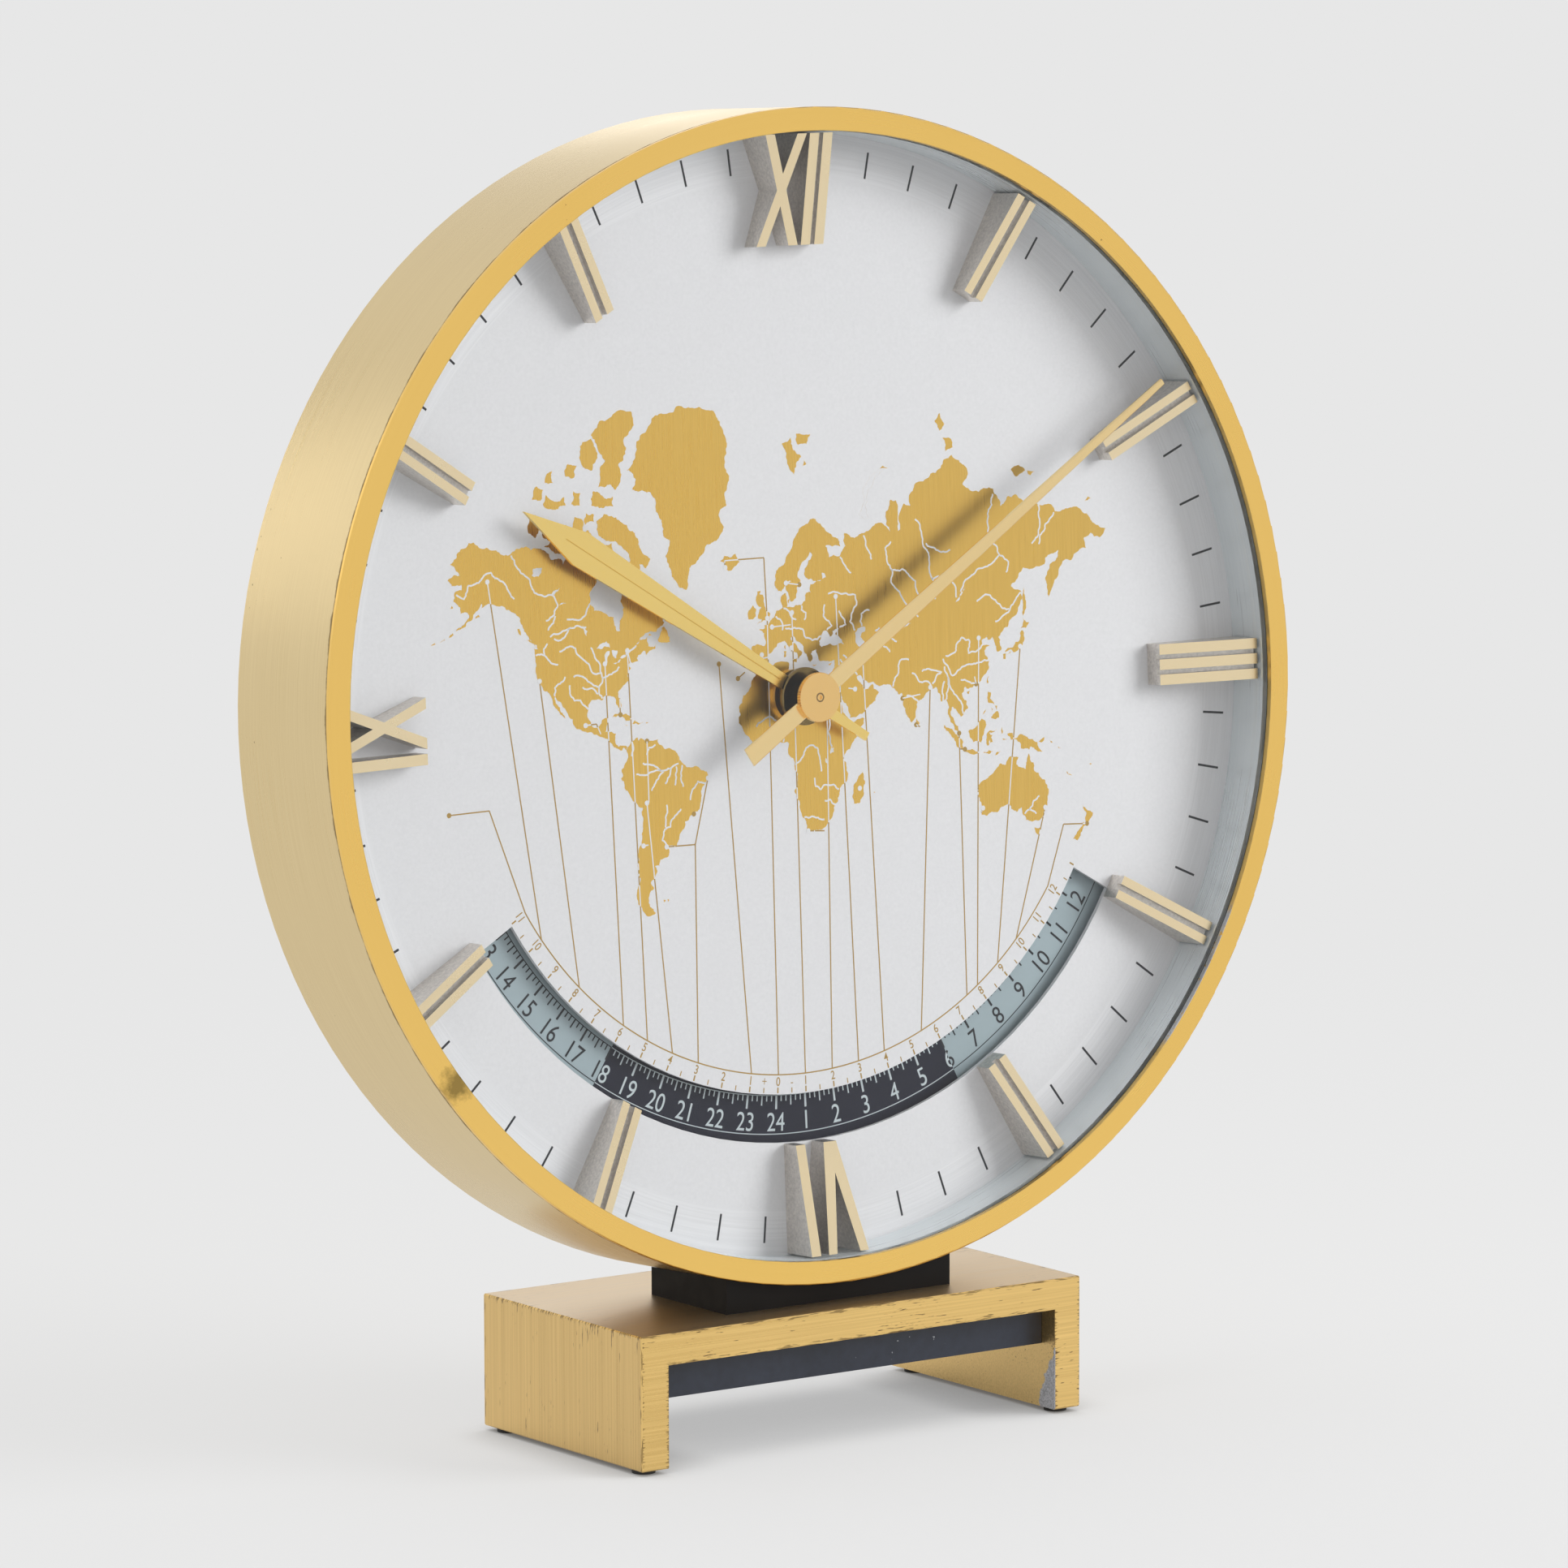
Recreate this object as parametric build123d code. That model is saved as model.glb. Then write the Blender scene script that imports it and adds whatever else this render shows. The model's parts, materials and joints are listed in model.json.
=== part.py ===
from build123d import *
import math
import os

# World time table clock, in millimetres. X is to the right, Y to the back and Z up.
# The origin is on the table, under the middle of the base.
# The head leans back, so its pieces are drawn on the dial's own plane and then placed:
# there x is to the right, y is up the dial, z is out towards the viewer, and z = 0 is the dial's face.

# Driving dimensions of the base
base_width = 115.4
base_depth = 60.0
base_height = 29.8
base_top_thickness = 6.7
base_leg_thickness = 6.9
base_edge_chamfer = 0.3
foot_height = 1.0
foot_diameter = 5.0
foot_inset = 4.4
ballast_height = 8.1
ballast_setback = 4.7
pedestal_width = 58.7
pedestal_depth = 28.1
pedestal_shift = 0.55
saddle_clearance = 0.05

# Driving dimensions of the head
head_lean = 3.0
head_gap = 2.4
dial_setback = 3.6
case_diameter = 250.0
case_wall = 3.0
case_depth_behind_dial = 21.9
bezel_face_width = 5.05
bezel_thickness = 1.2
bezel_edge_round = 0.5
spigot_thickness = 0.8
spigot_length = 2.2
joint_chamfer = 0.3
fit_clearance = 0.05
glass_thickness = 2.0
glass_gap = 0.28
seal_thickness = 0.3
seal_width = 0.9
dial_thickness = 1.0
carrier_thickness = 1.5
ledge_width = 5.0
ledge_thickness = 2.0
cover_thickness = 1.5
cut_overrun = 1.0

# Applied hour marks, wedges that rise towards the rim
mark_margin = 0.55
mark_length = 23.6
mark_inner_height = 4.4
mark_outer_height = 9.1
bar_face_width = 1.95
bar_groove_width = 1.4
bar_groove_depth = 1.3
three_face_width = 2.3
three_groove_width = 1.05
stroke_width = 2.4
cross_width = 10.7
twelve_width = 17.4
twelve_gap = 0.8
nine_cross_offset = 1.3
nine_bar_offset = -6.15
nine_stroke_width = 2.3
six_bar_offset = 5.05
six_apex_width = 3.3
six_apex_offset = -2.65
six_near_leg_offset = 0.7
six_far_leg_offset = -7.6
six_leg_width = 2.2
six_notch_share = 0.28

# Time window in the dial, and the turning ring behind it
window_width = 10.4
window_half_angle = 59.7
ring_setback = 2.8
ring_thickness = 0.8
ring_inner_overlap = 3.4
ring_outer_overlap = 2.7
ring_clearance = 5.5
ring_spokes = 3
ring_spoke_width = 10.0
ring_hub_radius = 7.0

# Hands
minute_tip_margin = 5.4
minute_hand_tail = 21.3
minute_tip_width = 1.6
minute_tail_width = 4.3
minute_hand_thickness = 0.6
minute_hand_bevel = 0.25
minute_boss_radius = 4.2
minute_collet_radius = 2.6
minute_angle = 56.9
hand_clearance = 0.3
hour_tip_margin = 2.9
hour_point_length = 16.2
hour_hand_tail = 18.65
hour_root_width = 2.6
hour_belly_width = 7.6
hour_tail_width = 1.9
hour_hand_level = 4.0
hour_hand_thickness = 0.8
hour_disc_radius = 6.2
hour_disc_thickness = 1.0
hour_disc_round = 0.4
hour_collet_radius = 3.4
hour_groove_width = 0.3
hour_groove_depth = 0.3
hour_groove_margin = 1.3
hour_groove_overshoot = 4.2
hour_angle = 301.8
nut_radius = 5.3
nut_thickness = 1.1
nut_knurls = 60
nut_knurl_depth = 0.2
nut_hole_radius = 0.45
nut_hole_depth = 0.3

# Arbors, tubes and the bushing in the middle of the dial
minute_arbor_radius = 1.0
running_clearance = 0.05
hour_tube_wall = 1.15
bushing_wall = 1.75
bushing_flange_width = 1.6
bushing_flange_thickness = 1.2
clip_groove_depth = 0.25
clip_thickness = 0.3
clip_width = 1.4
end_play = 0.1

# Gear trains, with one module in front of the carrier plate and a finer one behind it
motion_module = 0.5
centre_module = 0.4
pressure_angle = 20.0
addendum_share = 0.75
dedendum_share = 1.2
tooth_play = 0.08
gear_thickness = 0.8
level_gap = 0.8
cannon_teeth = 15
minute_wheel_teeth = 45
minute_pinion_teeth = 12
hour_wheel_teeth = 48
hour_pinion_teeth = 20
idler_wheel_teeth = 40
idler_pinion_teeth = 15
ring_gear_teeth = 45
setting_pinion_teeth = 15
centre_wheel_teeth = 60
third_pinion_teeth = 12
third_wheel_teeth = 50
minute_train_direction = 180.0
idler_direction = 0.0
setting_direction = 270.0
third_direction = 340.0
post_radius = 0.9
post_shoulder = 0.7
post_head_overhang = 0.5
post_head_thickness = 0.25
third_arbor_radius = 0.6
arbor_collar = 0.5
setting_arbor_radius = 1.0

# Movement behind the carrier plate
back_plate_gap = 2.2
back_plate_thickness = 1.0
back_plate_width = 56.0
back_plate_height = 52.0
pillar_radius = 2.2
pillar_inset = 4.0
board_thickness = 1.0
board_inset = 1.0
coil_length = 17.0
coil_height = 19.0
coil_cheek_thickness = 0.8
coil_cheek_overhang = 0.3
coil_core_radius = 0.9
coil_core_overhang = 4.0
stator_width = 8.0
stator_depth = 8.2
stator_thickness = 0.9
crystal_radius = 1.5
crystal_length = 8.0
crystal_x = 12.0
crystal_y = 8.0
chip_size = 8.0
chip_thickness = 1.6
chip_x = 12.0
chip_y = -8.0

# Housing, battery and battery cover
housing_wall = 1.5
housing_corner = 3.0
housing_margin = 1.0
movement_clearance = 3.5
ear_length = 8.0
ear_width = 10.0
ear_thickness = 2.0
ear_inset = 8.0
battery_radius = 7.1
battery_length = 49.5
battery_clearance = 0.4
terminal_radius = 2.7
terminal_length = 1.2
contact_thickness = 0.4
contact_width = 9.0
contact_room = 5.0
door_margin = 1.5
door_thickness = 1.2
door_gap = 0.1
door_grip_count = 5
door_grip_pitch = 2.2
door_grip_height = 0.5
door_grip_width = 0.9
door_grip_length = 10.0
rail_wall = 1.2
rail_lip = 1.3
rail_lip_thickness = 0.5
knob_radius = 7.0
knob_thickness = 4.0
knob_knurls = 36
knob_knurl_depth = 0.35
knob_gap = 0.2

# Screws
stand_screw_radius = 2.0
stand_screw_head_radius = 3.7
stand_screw_head_height = 2.6
stand_screw_half_spacing = 18.0
stand_screw_bite = 8.0
small_screw_radius = 1.0
small_screw_head_radius = 1.9
small_screw_head_height = 1.0
small_screw_bite = 3.0
screw_slot_width = 0.6
screw_slot_depth = 0.5
carrier_screw_inset = 5.0
cover_screw_inset = 3.2

# Radii of the head, from the rim inwards
case_radius = case_diameter / 2
bore_radius = case_radius - case_wall
seat_radius = bore_radius - fit_clearance
bezel_inner_radius = case_radius - bezel_face_width
glass_radius = seat_radius - spigot_thickness - fit_clearance
mark_outer_radius = bezel_inner_radius - mark_margin
mark_inner_radius = mark_outer_radius - mark_length
window_outer_radius = mark_inner_radius
window_inner_radius = window_outer_radius - window_width
ring_outer_radius = window_outer_radius + ring_outer_overlap
ring_inner_radius = window_inner_radius - ring_inner_overlap
mounting_ring_radius = ring_outer_radius + ring_clearance
minute_hand_length = mark_outer_radius - minute_tip_margin
hour_hand_length = window_inner_radius - hour_tip_margin
hour_belly_distance = hour_hand_length - hour_point_length

# Levels in front of the dial
mark_slope = (mark_outer_height - mark_inner_height) / mark_length
mark_height_under_tip = mark_inner_height + mark_slope * (minute_hand_length - mark_inner_radius)
minute_hand_level = mark_height_under_tip + hand_clearance
glass_back = minute_hand_level + minute_hand_thickness + nut_thickness + glass_gap
seal_back = glass_back + glass_thickness
bezel_back = seal_back + seal_thickness
bezel_over_dial = bezel_back + bezel_thickness

# Depths behind the dial, each to the back face of its piece
ring_back = ring_setback + ring_thickness
ring_gear_depth = ring_back + level_gap + gear_thickness
idler_wheel_depth = ring_gear_depth + level_gap + gear_thickness
hour_wheel_depth = idler_wheel_depth + level_gap + gear_thickness
minute_wheel_depth = hour_wheel_depth + level_gap + gear_thickness
carrier_front = minute_wheel_depth + level_gap
carrier_back = carrier_front + carrier_thickness
centre_wheel_depth = carrier_back + level_gap + gear_thickness
third_wheel_depth = centre_wheel_depth + level_gap + gear_thickness
back_plate_front = third_wheel_depth + back_plate_gap
back_plate_back = back_plate_front + back_plate_thickness
board_back = back_plate_back + board_thickness
cover_front = case_depth_behind_dial - cover_thickness
movement_gap = back_plate_front - carrier_back

# Places of the head and the stand
lean_sin = math.sin(math.radians(head_lean))
lean_cos = math.cos(math.radians(head_lean))
dial_height = base_height + head_gap + case_radius * lean_cos + case_depth_behind_dial * lean_sin
case_middle_depth = (case_depth_behind_dial - bezel_over_dial) / 2
hour_disc_front = hour_hand_level + hour_disc_thickness
minute_arbor_front = minute_hand_level + minute_hand_thickness + nut_thickness / 2
pedestal_y = -dial_setback - case_radius * lean_sin + case_middle_depth * lean_cos - pedestal_shift
mounting_ring_middle = (dial_thickness + carrier_front) / 2
stand_screw_y = -dial_setback - case_radius * lean_sin + mounting_ring_middle * lean_cos
stand_screw_places = [(-stand_screw_half_spacing, stand_screw_y), (stand_screw_half_spacing, stand_screw_y)]
stand_screw_tip = base_height + head_gap + case_wall + stand_screw_bite
ballast_width = base_width - 2 * base_leg_thickness - 2 * fit_clearance
ballast_top = base_height - base_top_thickness
ballast_bottom = ballast_top - ballast_height

# Fits round the dial's axis, and centre distances of the gears
hour_tube_bore = minute_arbor_radius + running_clearance
hour_tube_radius = hour_tube_bore + hour_tube_wall
bushing_bore = hour_tube_radius + running_clearance
bushing_radius = bushing_bore + bushing_wall
ring_hub_bore = bushing_radius + running_clearance
clip_front = ring_gear_depth + end_play
clip_back = clip_front + clip_thickness
motion_distance = motion_module * (cannon_teeth + minute_wheel_teeth) / 2
setting_distance = motion_module * (setting_pinion_teeth + minute_wheel_teeth) / 2
third_distance = centre_module * (centre_wheel_teeth + third_pinion_teeth) / 2

# Housing round the movement and the battery bay
bay_half_height = battery_radius + battery_clearance
bay_half_width = battery_length / 2 + terminal_length + contact_room
room_half_width = max(back_plate_width / 2 + movement_clearance, bay_half_width)
room_half_height = back_plate_height / 2 + movement_clearance
housing_half_width = room_half_width + housing_wall
housing_top = room_half_height + housing_wall
battery_drop = room_half_height + housing_wall + bay_half_height
door_half_width = battery_length / 2 + terminal_length + door_margin
door_half_height = bay_half_height + door_margin
rail_inner = door_half_height + door_gap
housing_bottom = battery_drop + rail_inner + rail_wall + housing_margin
housing_floor = carrier_back + 2 * bay_half_height
housing_back = housing_floor + housing_wall
battery_depth = carrier_back + bay_half_height
knob_front = housing_back + knob_gap
door_front = housing_back + door_gap
door_back = door_front + door_thickness

head_plane = Plane(origin=(0, -dial_setback, dial_height), x_dir=(1, 0, 0), z_dir=(0, -lean_cos, lean_sin))


def polar(radius, degrees):
    """Point at a radius and an angle, counter-clockwise from the right."""
    return (radius * math.cos(math.radians(degrees)), radius * math.sin(math.radians(degrees)))


minute_wheel_at = polar(motion_distance, minute_train_direction)
idler_at = polar(motion_distance, idler_direction)
setting_offset = polar(setting_distance, setting_direction)
setting_at = (minute_wheel_at[0] + setting_offset[0], minute_wheel_at[1] + setting_offset[1])
third_at = polar(third_distance, third_direction)
pillar_x = back_plate_width / 2 - pillar_inset
pillar_y = back_plate_height / 2 - pillar_inset
coil_core_reach = coil_length / 2 + coil_cheek_thickness + coil_core_overhang
pillar_places = [(sx * pillar_x, sy * pillar_y) for sx in (-1, 1) for sy in (-1, 1)]
ear_x = housing_half_width + ear_length / 2
ear_rows = (housing_top - ear_inset, ear_inset - housing_bottom)
ear_places = [(sx * ear_x, y) for sx in (-1, 1) for y in ear_rows]
carrier_screw_radius_at = seat_radius - ledge_width - carrier_screw_inset
carrier_screw_places = [polar(carrier_screw_radius_at, 45 + 90 * i) for i in range(4)]
cover_screw_places = [polar(bore_radius - cover_screw_inset, 45 + 90 * i) for i in range(4)]


def disc(radius, low, high, at=(0, 0)):
    """Round solid from z = low to z = high."""
    return Pos(at[0], at[1], low) * extrude(Circle(radius), high - low)


def tube(outer, inner, low, high, at=(0, 0)):
    """Ring-shaped solid from z = low to z = high."""
    return disc(outer, low, high, at) - disc(inner, low - cut_overrun, high + cut_overrun, at)


def block(x_low, x_high, y_low, y_high, z_low, z_high):
    """Box between two corners."""
    middle = ((x_low + x_high) / 2, (y_low + y_high) / 2, (z_low + z_high) / 2)
    return Pos(*middle) * Box(x_high - x_low, y_high - y_low, z_high - z_low)


def prism(points, low, high):
    """Solid with a straight-sided outline."""
    return Pos(0, 0, low) * extrude(make_face(Polyline(*points, close=True)), high - low)


def place(shape):
    """Put a piece drawn on the dial's plane where the leaning head has it."""
    return shape.moved(head_plane.location)


def group(pieces):
    """Several separate solids that share one node."""
    solids = []
    for piece in pieces:
        solids.extend(piece.solids())
    return Compound(solids)


def turned(shape, clock_degrees):
    """Turn a piece drawn at twelve to a clock angle."""
    return Rot(0, 0, -clock_degrees) * shape


def tooth_half_angle(radius, teeth, module):
    """Half of a tooth's angle, in radians, at a radius on an involute flank."""
    pitch_radius = module * teeth / 2
    base_radius = pitch_radius * math.cos(math.radians(pressure_angle))
    at_pitch = math.pi / (2 * teeth) - tooth_play / (2 * pitch_radius)
    pitch_roll = math.radians(pressure_angle)
    roll = math.acos(min(1, base_radius / radius))
    return at_pitch + (math.tan(pitch_roll) - pitch_roll) - (math.tan(roll) - roll)


def gear(teeth, module, phase, low, high, at=(0, 0)):
    """Spur gear with a tooth centred on the phase angle in degrees."""
    pitch_radius = module * teeth / 2
    radii = (pitch_radius - dedendum_share * module, pitch_radius, pitch_radius + addendum_share * module)
    points = []
    for tooth in range(teeth):
        middle = math.radians(phase + 360 * tooth / teeth)
        sides = [(radius, -tooth_half_angle(radius, teeth, module)) for radius in radii]
        sides += [(radius, -angle) for radius, angle in reversed(sides)]
        for radius, angle in sides:
            points.append((radius * math.cos(middle + angle), radius * math.sin(middle + angle)))
    return Pos(at[0], at[1], 0) * prism(points, low, high)


def mesh_phase(lead_phase, lead_teeth, teeth, direction):
    """Phase of a gear whose tooth gap meets the leading gear's tooth on their line of centres."""
    offset = (direction - lead_phase) * lead_teeth / 360
    return direction + 180 + (offset + 1 / 2) * 360 / teeth


def knurled_disc(radius, knurls, depth, low, high, at=(0, 0)):
    """Disc with small pointed ribs round its edge."""
    points = [polar(radius - depth * (step % 2), 180 * step / knurls) for step in range(2 * knurls)]
    return Pos(at[0], at[1], 0) * prism(points, low, high)


def window_sector(low, high):
    """Curved slot about the bottom of the dial."""
    start = 270 - window_half_angle
    outer_arc = CenterArc((0, 0), window_outer_radius, start, 2 * window_half_angle)
    inner_arc = CenterArc((0, 0), window_inner_radius, start, 2 * window_half_angle)
    ends = [Line(outer_arc @ 1, inner_arc @ 1), Line(inner_arc @ 0, outer_arc @ 0)]
    return Pos(0, 0, low) * extrude(make_face([outer_arc, inner_arc] + ends), high - low)


def rear_screw(seat, tip, radius, head_radius, head_height, slot, at):
    """Slotted screw, driven in from low z, whose head sits under the level called seat."""
    head = disc(head_radius, seat - head_height, seat, at)
    slot_width, slot_depth = slot
    reach = head_radius + cut_overrun
    groove = block(at[0] - reach, at[0] + reach, at[1] - slot_width / 2, at[1] + slot_width / 2,
                   seat - head_height - cut_overrun, seat - head_height + slot_depth)
    return (head - groove) + disc(radius, seat, tip, at)


def small_screws(seat, tip, places):
    """Small screws driven from the back of the head."""
    slot = (screw_slot_width, screw_slot_depth)
    screws = []
    for at in places:
        screws.append(rear_screw(seat, tip, small_screw_radius, small_screw_head_radius,
                                 small_screw_head_height, slot, at))
    return place(group(screws))


def drilled(shape, radius, places, low, high):
    """Shape with a straight hole at each place."""
    for at in places:
        shape = shape - disc(radius, low - cut_overrun, high + cut_overrun, at)
    return shape


# Base

def base_bridge():
    """Brass bridge that stands on two legs, with holes for the two stand screws."""
    half_width = base_width / 2
    half_depth = base_depth / 2
    outside = block(-half_width, half_width, -half_depth, half_depth, foot_height, base_height)
    outside = chamfer(outside.edges(), base_edge_chamfer)
    inside = half_width - base_leg_thickness
    reach = half_depth + cut_overrun
    bridge = outside - block(-inside, inside, -reach, reach, foot_height - cut_overrun, ballast_top)
    return bridge - stand_screw_holes(fit_clearance)


def stand_screw_holes(clearance):
    """Two upright drillings right through the stand and into the head."""
    radius = stand_screw_radius + clearance
    drills = [disc(radius, 0, stand_screw_tip + cut_overrun, at) for at in stand_screw_places]
    return drills[0] + drills[1]


def ballast_bar():
    """Black weight under the bridge, with sunk seats for the screw heads."""
    reach = base_depth / 2 - ballast_setback
    bar = block(-ballast_width / 2, ballast_width / 2, -reach, reach, ballast_bottom, ballast_top)
    bar = bar - stand_screw_holes(fit_clearance)
    seat_radius_here = stand_screw_head_radius + fit_clearance
    seat_level = ballast_bottom + stand_screw_head_height
    return drilled(bar, seat_radius_here, stand_screw_places, ballast_bottom, seat_level - cut_overrun)


def feet():
    """Four small pads under the ends of the legs."""
    x = (base_width - base_leg_thickness) / 2
    y = base_depth / 2 - foot_inset
    places = [(sx * x, sy * y) for sx in (-1, 1) for sy in (-1, 1)]
    return group([disc(foot_diameter / 2, 0, foot_height, at) for at in places])


def pedestal():
    """Black block whose top is a saddle for the round case."""
    half_width = pedestal_width / 2
    half_depth = pedestal_depth / 2
    top = base_height + half_width
    body = block(-half_width, half_width, pedestal_y - half_depth, pedestal_y + half_depth, base_height, top)
    case_space = place(disc(case_radius + saddle_clearance, -base_width, base_width))
    body = body - case_space
    return body.solids().sort_by(Axis.Z)[0] - stand_screw_holes(fit_clearance)


def stand_screws():
    """Two long screws that clamp the weight, bridge and block to the head."""
    seat = ballast_bottom + stand_screw_head_height
    slot = (2 * screw_slot_width, 2 * screw_slot_depth)
    screws = []
    for at in stand_screw_places:
        screws.append(rear_screw(seat, stand_screw_tip, stand_screw_radius, stand_screw_head_radius,
                                 stand_screw_head_height, slot, at))
    return group(screws)


# Case and front

def case_band():
    """Round brass band with a ledge for the carrier plate and one for the back cover."""
    band = tube(case_radius, bore_radius, -case_depth_behind_dial, bezel_back)
    outer_rims = band.edges().filter_by(GeomType.CIRCLE).filter_by(lambda edge: edge.radius > bore_radius)
    band = chamfer(outer_rims, joint_chamfer)
    ledge_outer = bore_radius + fit_clearance
    ledge_inner = bore_radius - ledge_width
    band = band + tube(ledge_outer, ledge_inner, -carrier_back - ledge_thickness, -carrier_back)
    rear_low = -cover_front
    rear_high = rear_low + ledge_thickness
    rear_ledge = tube(ledge_outer, ledge_inner, rear_low, rear_high)
    rear_ledge = drilled(rear_ledge, small_screw_radius, cover_screw_places, rear_low, rear_high)
    return place(band + rear_ledge) - stand_screw_holes(fit_clearance)


def bezel():
    """Flat gold front ring with a thin spigot that slips into the band."""
    face = tube(case_radius, bezel_inner_radius, bezel_back, bezel_over_dial)
    outer_rims = face.edges().filter_by(GeomType.CIRCLE).filter_by(lambda edge: edge.radius > bore_radius)
    face = fillet(outer_rims.sort_by(Axis.Z)[-1:], bezel_edge_round)
    spigot = tube(seat_radius, seat_radius - spigot_thickness, bezel_back - spigot_length, bezel_back)
    return place(face + spigot)


def glass():
    """Flat glass disc behind the bezel."""
    return place(disc(glass_radius, glass_back, seal_back))


def glass_seal():
    """Thin dark seal between the bezel and the glass."""
    inner = bezel_inner_radius + fit_clearance
    return place(tube(inner + seal_width, inner, seal_back, bezel_back))


def inner_wall():
    """Brushed ring that lines the space between dial and glass, stepped for the bezel's spigot."""
    wall = tube(seat_radius, bezel_inner_radius, 0, glass_back)
    step_low = bezel_back - spigot_length - fit_clearance
    step_inner = seat_radius - spigot_thickness - fit_clearance
    step = tube(case_radius, step_inner, step_low, glass_back + cut_overrun)
    return place(wall - step)


def dial_plate():
    """Dial with the curved time window and a hole for the bushing."""
    plate = disc(seat_radius, -dial_thickness, 0)
    plate = plate - window_sector(-dial_thickness - cut_overrun, cut_overrun)
    return place(drilled(plate, bushing_radius, [(0, 0)], -dial_thickness, 0))


def mounting_ring():
    """Deep ring behind the dial that leaves room for the gears and takes the stand screws."""
    ring = tube(seat_radius, mounting_ring_radius, -carrier_front, -dial_thickness)
    hole_top = -carrier_back + small_screw_bite
    ring = drilled(ring, small_screw_radius, carrier_screw_places, -carrier_front, hole_top)
    return place(ring) - stand_screw_holes(0)


def carrier_plate():
    """Plate that carries the motion work on its front and the movement on its back."""
    plate = disc(seat_radius, -carrier_back, -carrier_front)
    holes = [(minute_arbor_radius + running_clearance, [(0, 0)])]
    holes += [(setting_arbor_radius + running_clearance, [setting_at])]
    holes += [(third_arbor_radius + running_clearance, [third_at])]
    holes += [(post_radius, [minute_wheel_at, idler_at])]
    holes += [(small_screw_radius, carrier_screw_places + ear_places + pillar_places)]
    for radius, places in holes:
        plate = drilled(plate, radius, places, -carrier_back, -carrier_front)
    return place(plate)


def back_cover():
    """Rear cover with an opening for the movement housing."""
    low = -case_depth_behind_dial
    cover = disc(seat_radius, low, -cover_front)
    gap = 2 * fit_clearance
    x = housing_half_width + gap
    y_low = -housing_bottom - gap
    opening = block(-x, x, y_low, housing_top + gap, low - cut_overrun, -cover_front + cut_overrun)
    opening = fillet(opening.edges().filter_by(Axis.Z), housing_corner)
    holes = small_screw_radius + fit_clearance
    return place(drilled(cover - opening, holes, cover_screw_places, low, -cover_front))


# Hour marks, drawn at twelve with the dial's centre at the origin

def mark_wedge(lowered):
    """Space under the sloping top of the marks, lowered by a depth."""
    start = mark_inner_radius - cut_overrun
    end = mark_outer_radius + cut_overrun
    low_edge = mark_inner_height - lowered - mark_slope * cut_overrun
    high_edge = mark_outer_height - lowered + mark_slope * cut_overrun
    corners = [(start, 0), (end, 0), (end, high_edge), (start, low_edge)]
    profile = Plane.YZ * make_face(Polyline(*corners, close=True))
    return extrude(profile, twelve_width, both=True)


def mark(outlines, grooves=()):
    """Hour mark from closed outlines, with sunk grooves between its faces."""
    body = prism(outlines[0], 0, mark_outer_height)
    for outline in outlines[1:]:
        body = body + prism(outline, 0, mark_outer_height)
    body = body & mark_wedge(0)
    for middle, width in grooves:
        channel = block(middle - width / 2, middle + width / 2, mark_inner_radius - cut_overrun,
                        mark_outer_radius + cut_overrun, 0, mark_outer_height + cut_overrun)
        body = body - (channel - mark_wedge(bar_groove_depth))
    return body


def stroke(inner_middle, outer_middle, width):
    """Outline of a stroke between the inner and the outer end of a mark."""
    half = width / 2
    return [(inner_middle - half, mark_inner_radius), (inner_middle + half, mark_inner_radius),
            (outer_middle + half, mark_outer_radius), (outer_middle - half, mark_outer_radius)]


def cross(middle, width):
    """Outlines of the two strokes of a roman ten."""
    reach = (cross_width - width) / 2
    return [stroke(middle - reach, middle + reach, width), stroke(middle + reach, middle - reach, width)]


def marker_twelve():
    """Roman twelve: a ten and a grooved pair of bars."""
    ten = mark(cross((cross_width - twelve_width) / 2, stroke_width))
    pair_width = twelve_width - cross_width - twelve_gap
    middle = (twelve_width - pair_width) / 2
    pair = mark([stroke(middle, middle, pair_width)], [(middle, pair_width - 2 * stroke_width)])
    return place(group([ten, pair]))


def marker_three():
    """Three gold faces on one block."""
    width = 3 * three_face_width + 2 * three_groove_width
    offset = (three_face_width + three_groove_width) / 2
    grooves = [(-offset, three_groove_width), (offset, three_groove_width)]
    return place(turned(mark([stroke(0, 0, width)], grooves), 90))


def marker_six():
    """Roman six with its foot towards the dial's centre."""
    apex_left = six_apex_offset - six_apex_width / 2
    apex_right = six_apex_offset + six_apex_width / 2
    half = six_leg_width / 2
    notch_y = mark_inner_radius + six_notch_share * mark_length
    legs_middle = (six_near_leg_offset + six_far_leg_offset) / 2
    notch_x = six_apex_offset + (legs_middle - six_apex_offset) * six_notch_share
    five = [(apex_left, mark_inner_radius), (apex_right, mark_inner_radius),
            (six_near_leg_offset + half, mark_outer_radius), (six_near_leg_offset - half, mark_outer_radius),
            (notch_x, notch_y),
            (six_far_leg_offset + half, mark_outer_radius), (six_far_leg_offset - half, mark_outer_radius)]
    one = stroke(six_bar_offset, six_bar_offset, stroke_width)
    return place(turned(group([mark([five]), mark([one])]), 180))


def marker_nine():
    """Roman nine: a bar and a ten."""
    one = stroke(nine_bar_offset, nine_bar_offset, nine_stroke_width)
    return place(turned(group([mark(cross(nine_cross_offset, nine_stroke_width)), mark([one])]), 270))


def hour_bars():
    """Eight grooved double bars at the hours that have no numeral."""
    width = 2 * bar_face_width + bar_groove_width
    bar = mark([stroke(0, 0, width)], [(0, bar_groove_width)])
    return place(group([turned(bar, 30 * hour) for hour in range(1, 12) if hour % 3]))


# Hands and what turns with them

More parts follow.
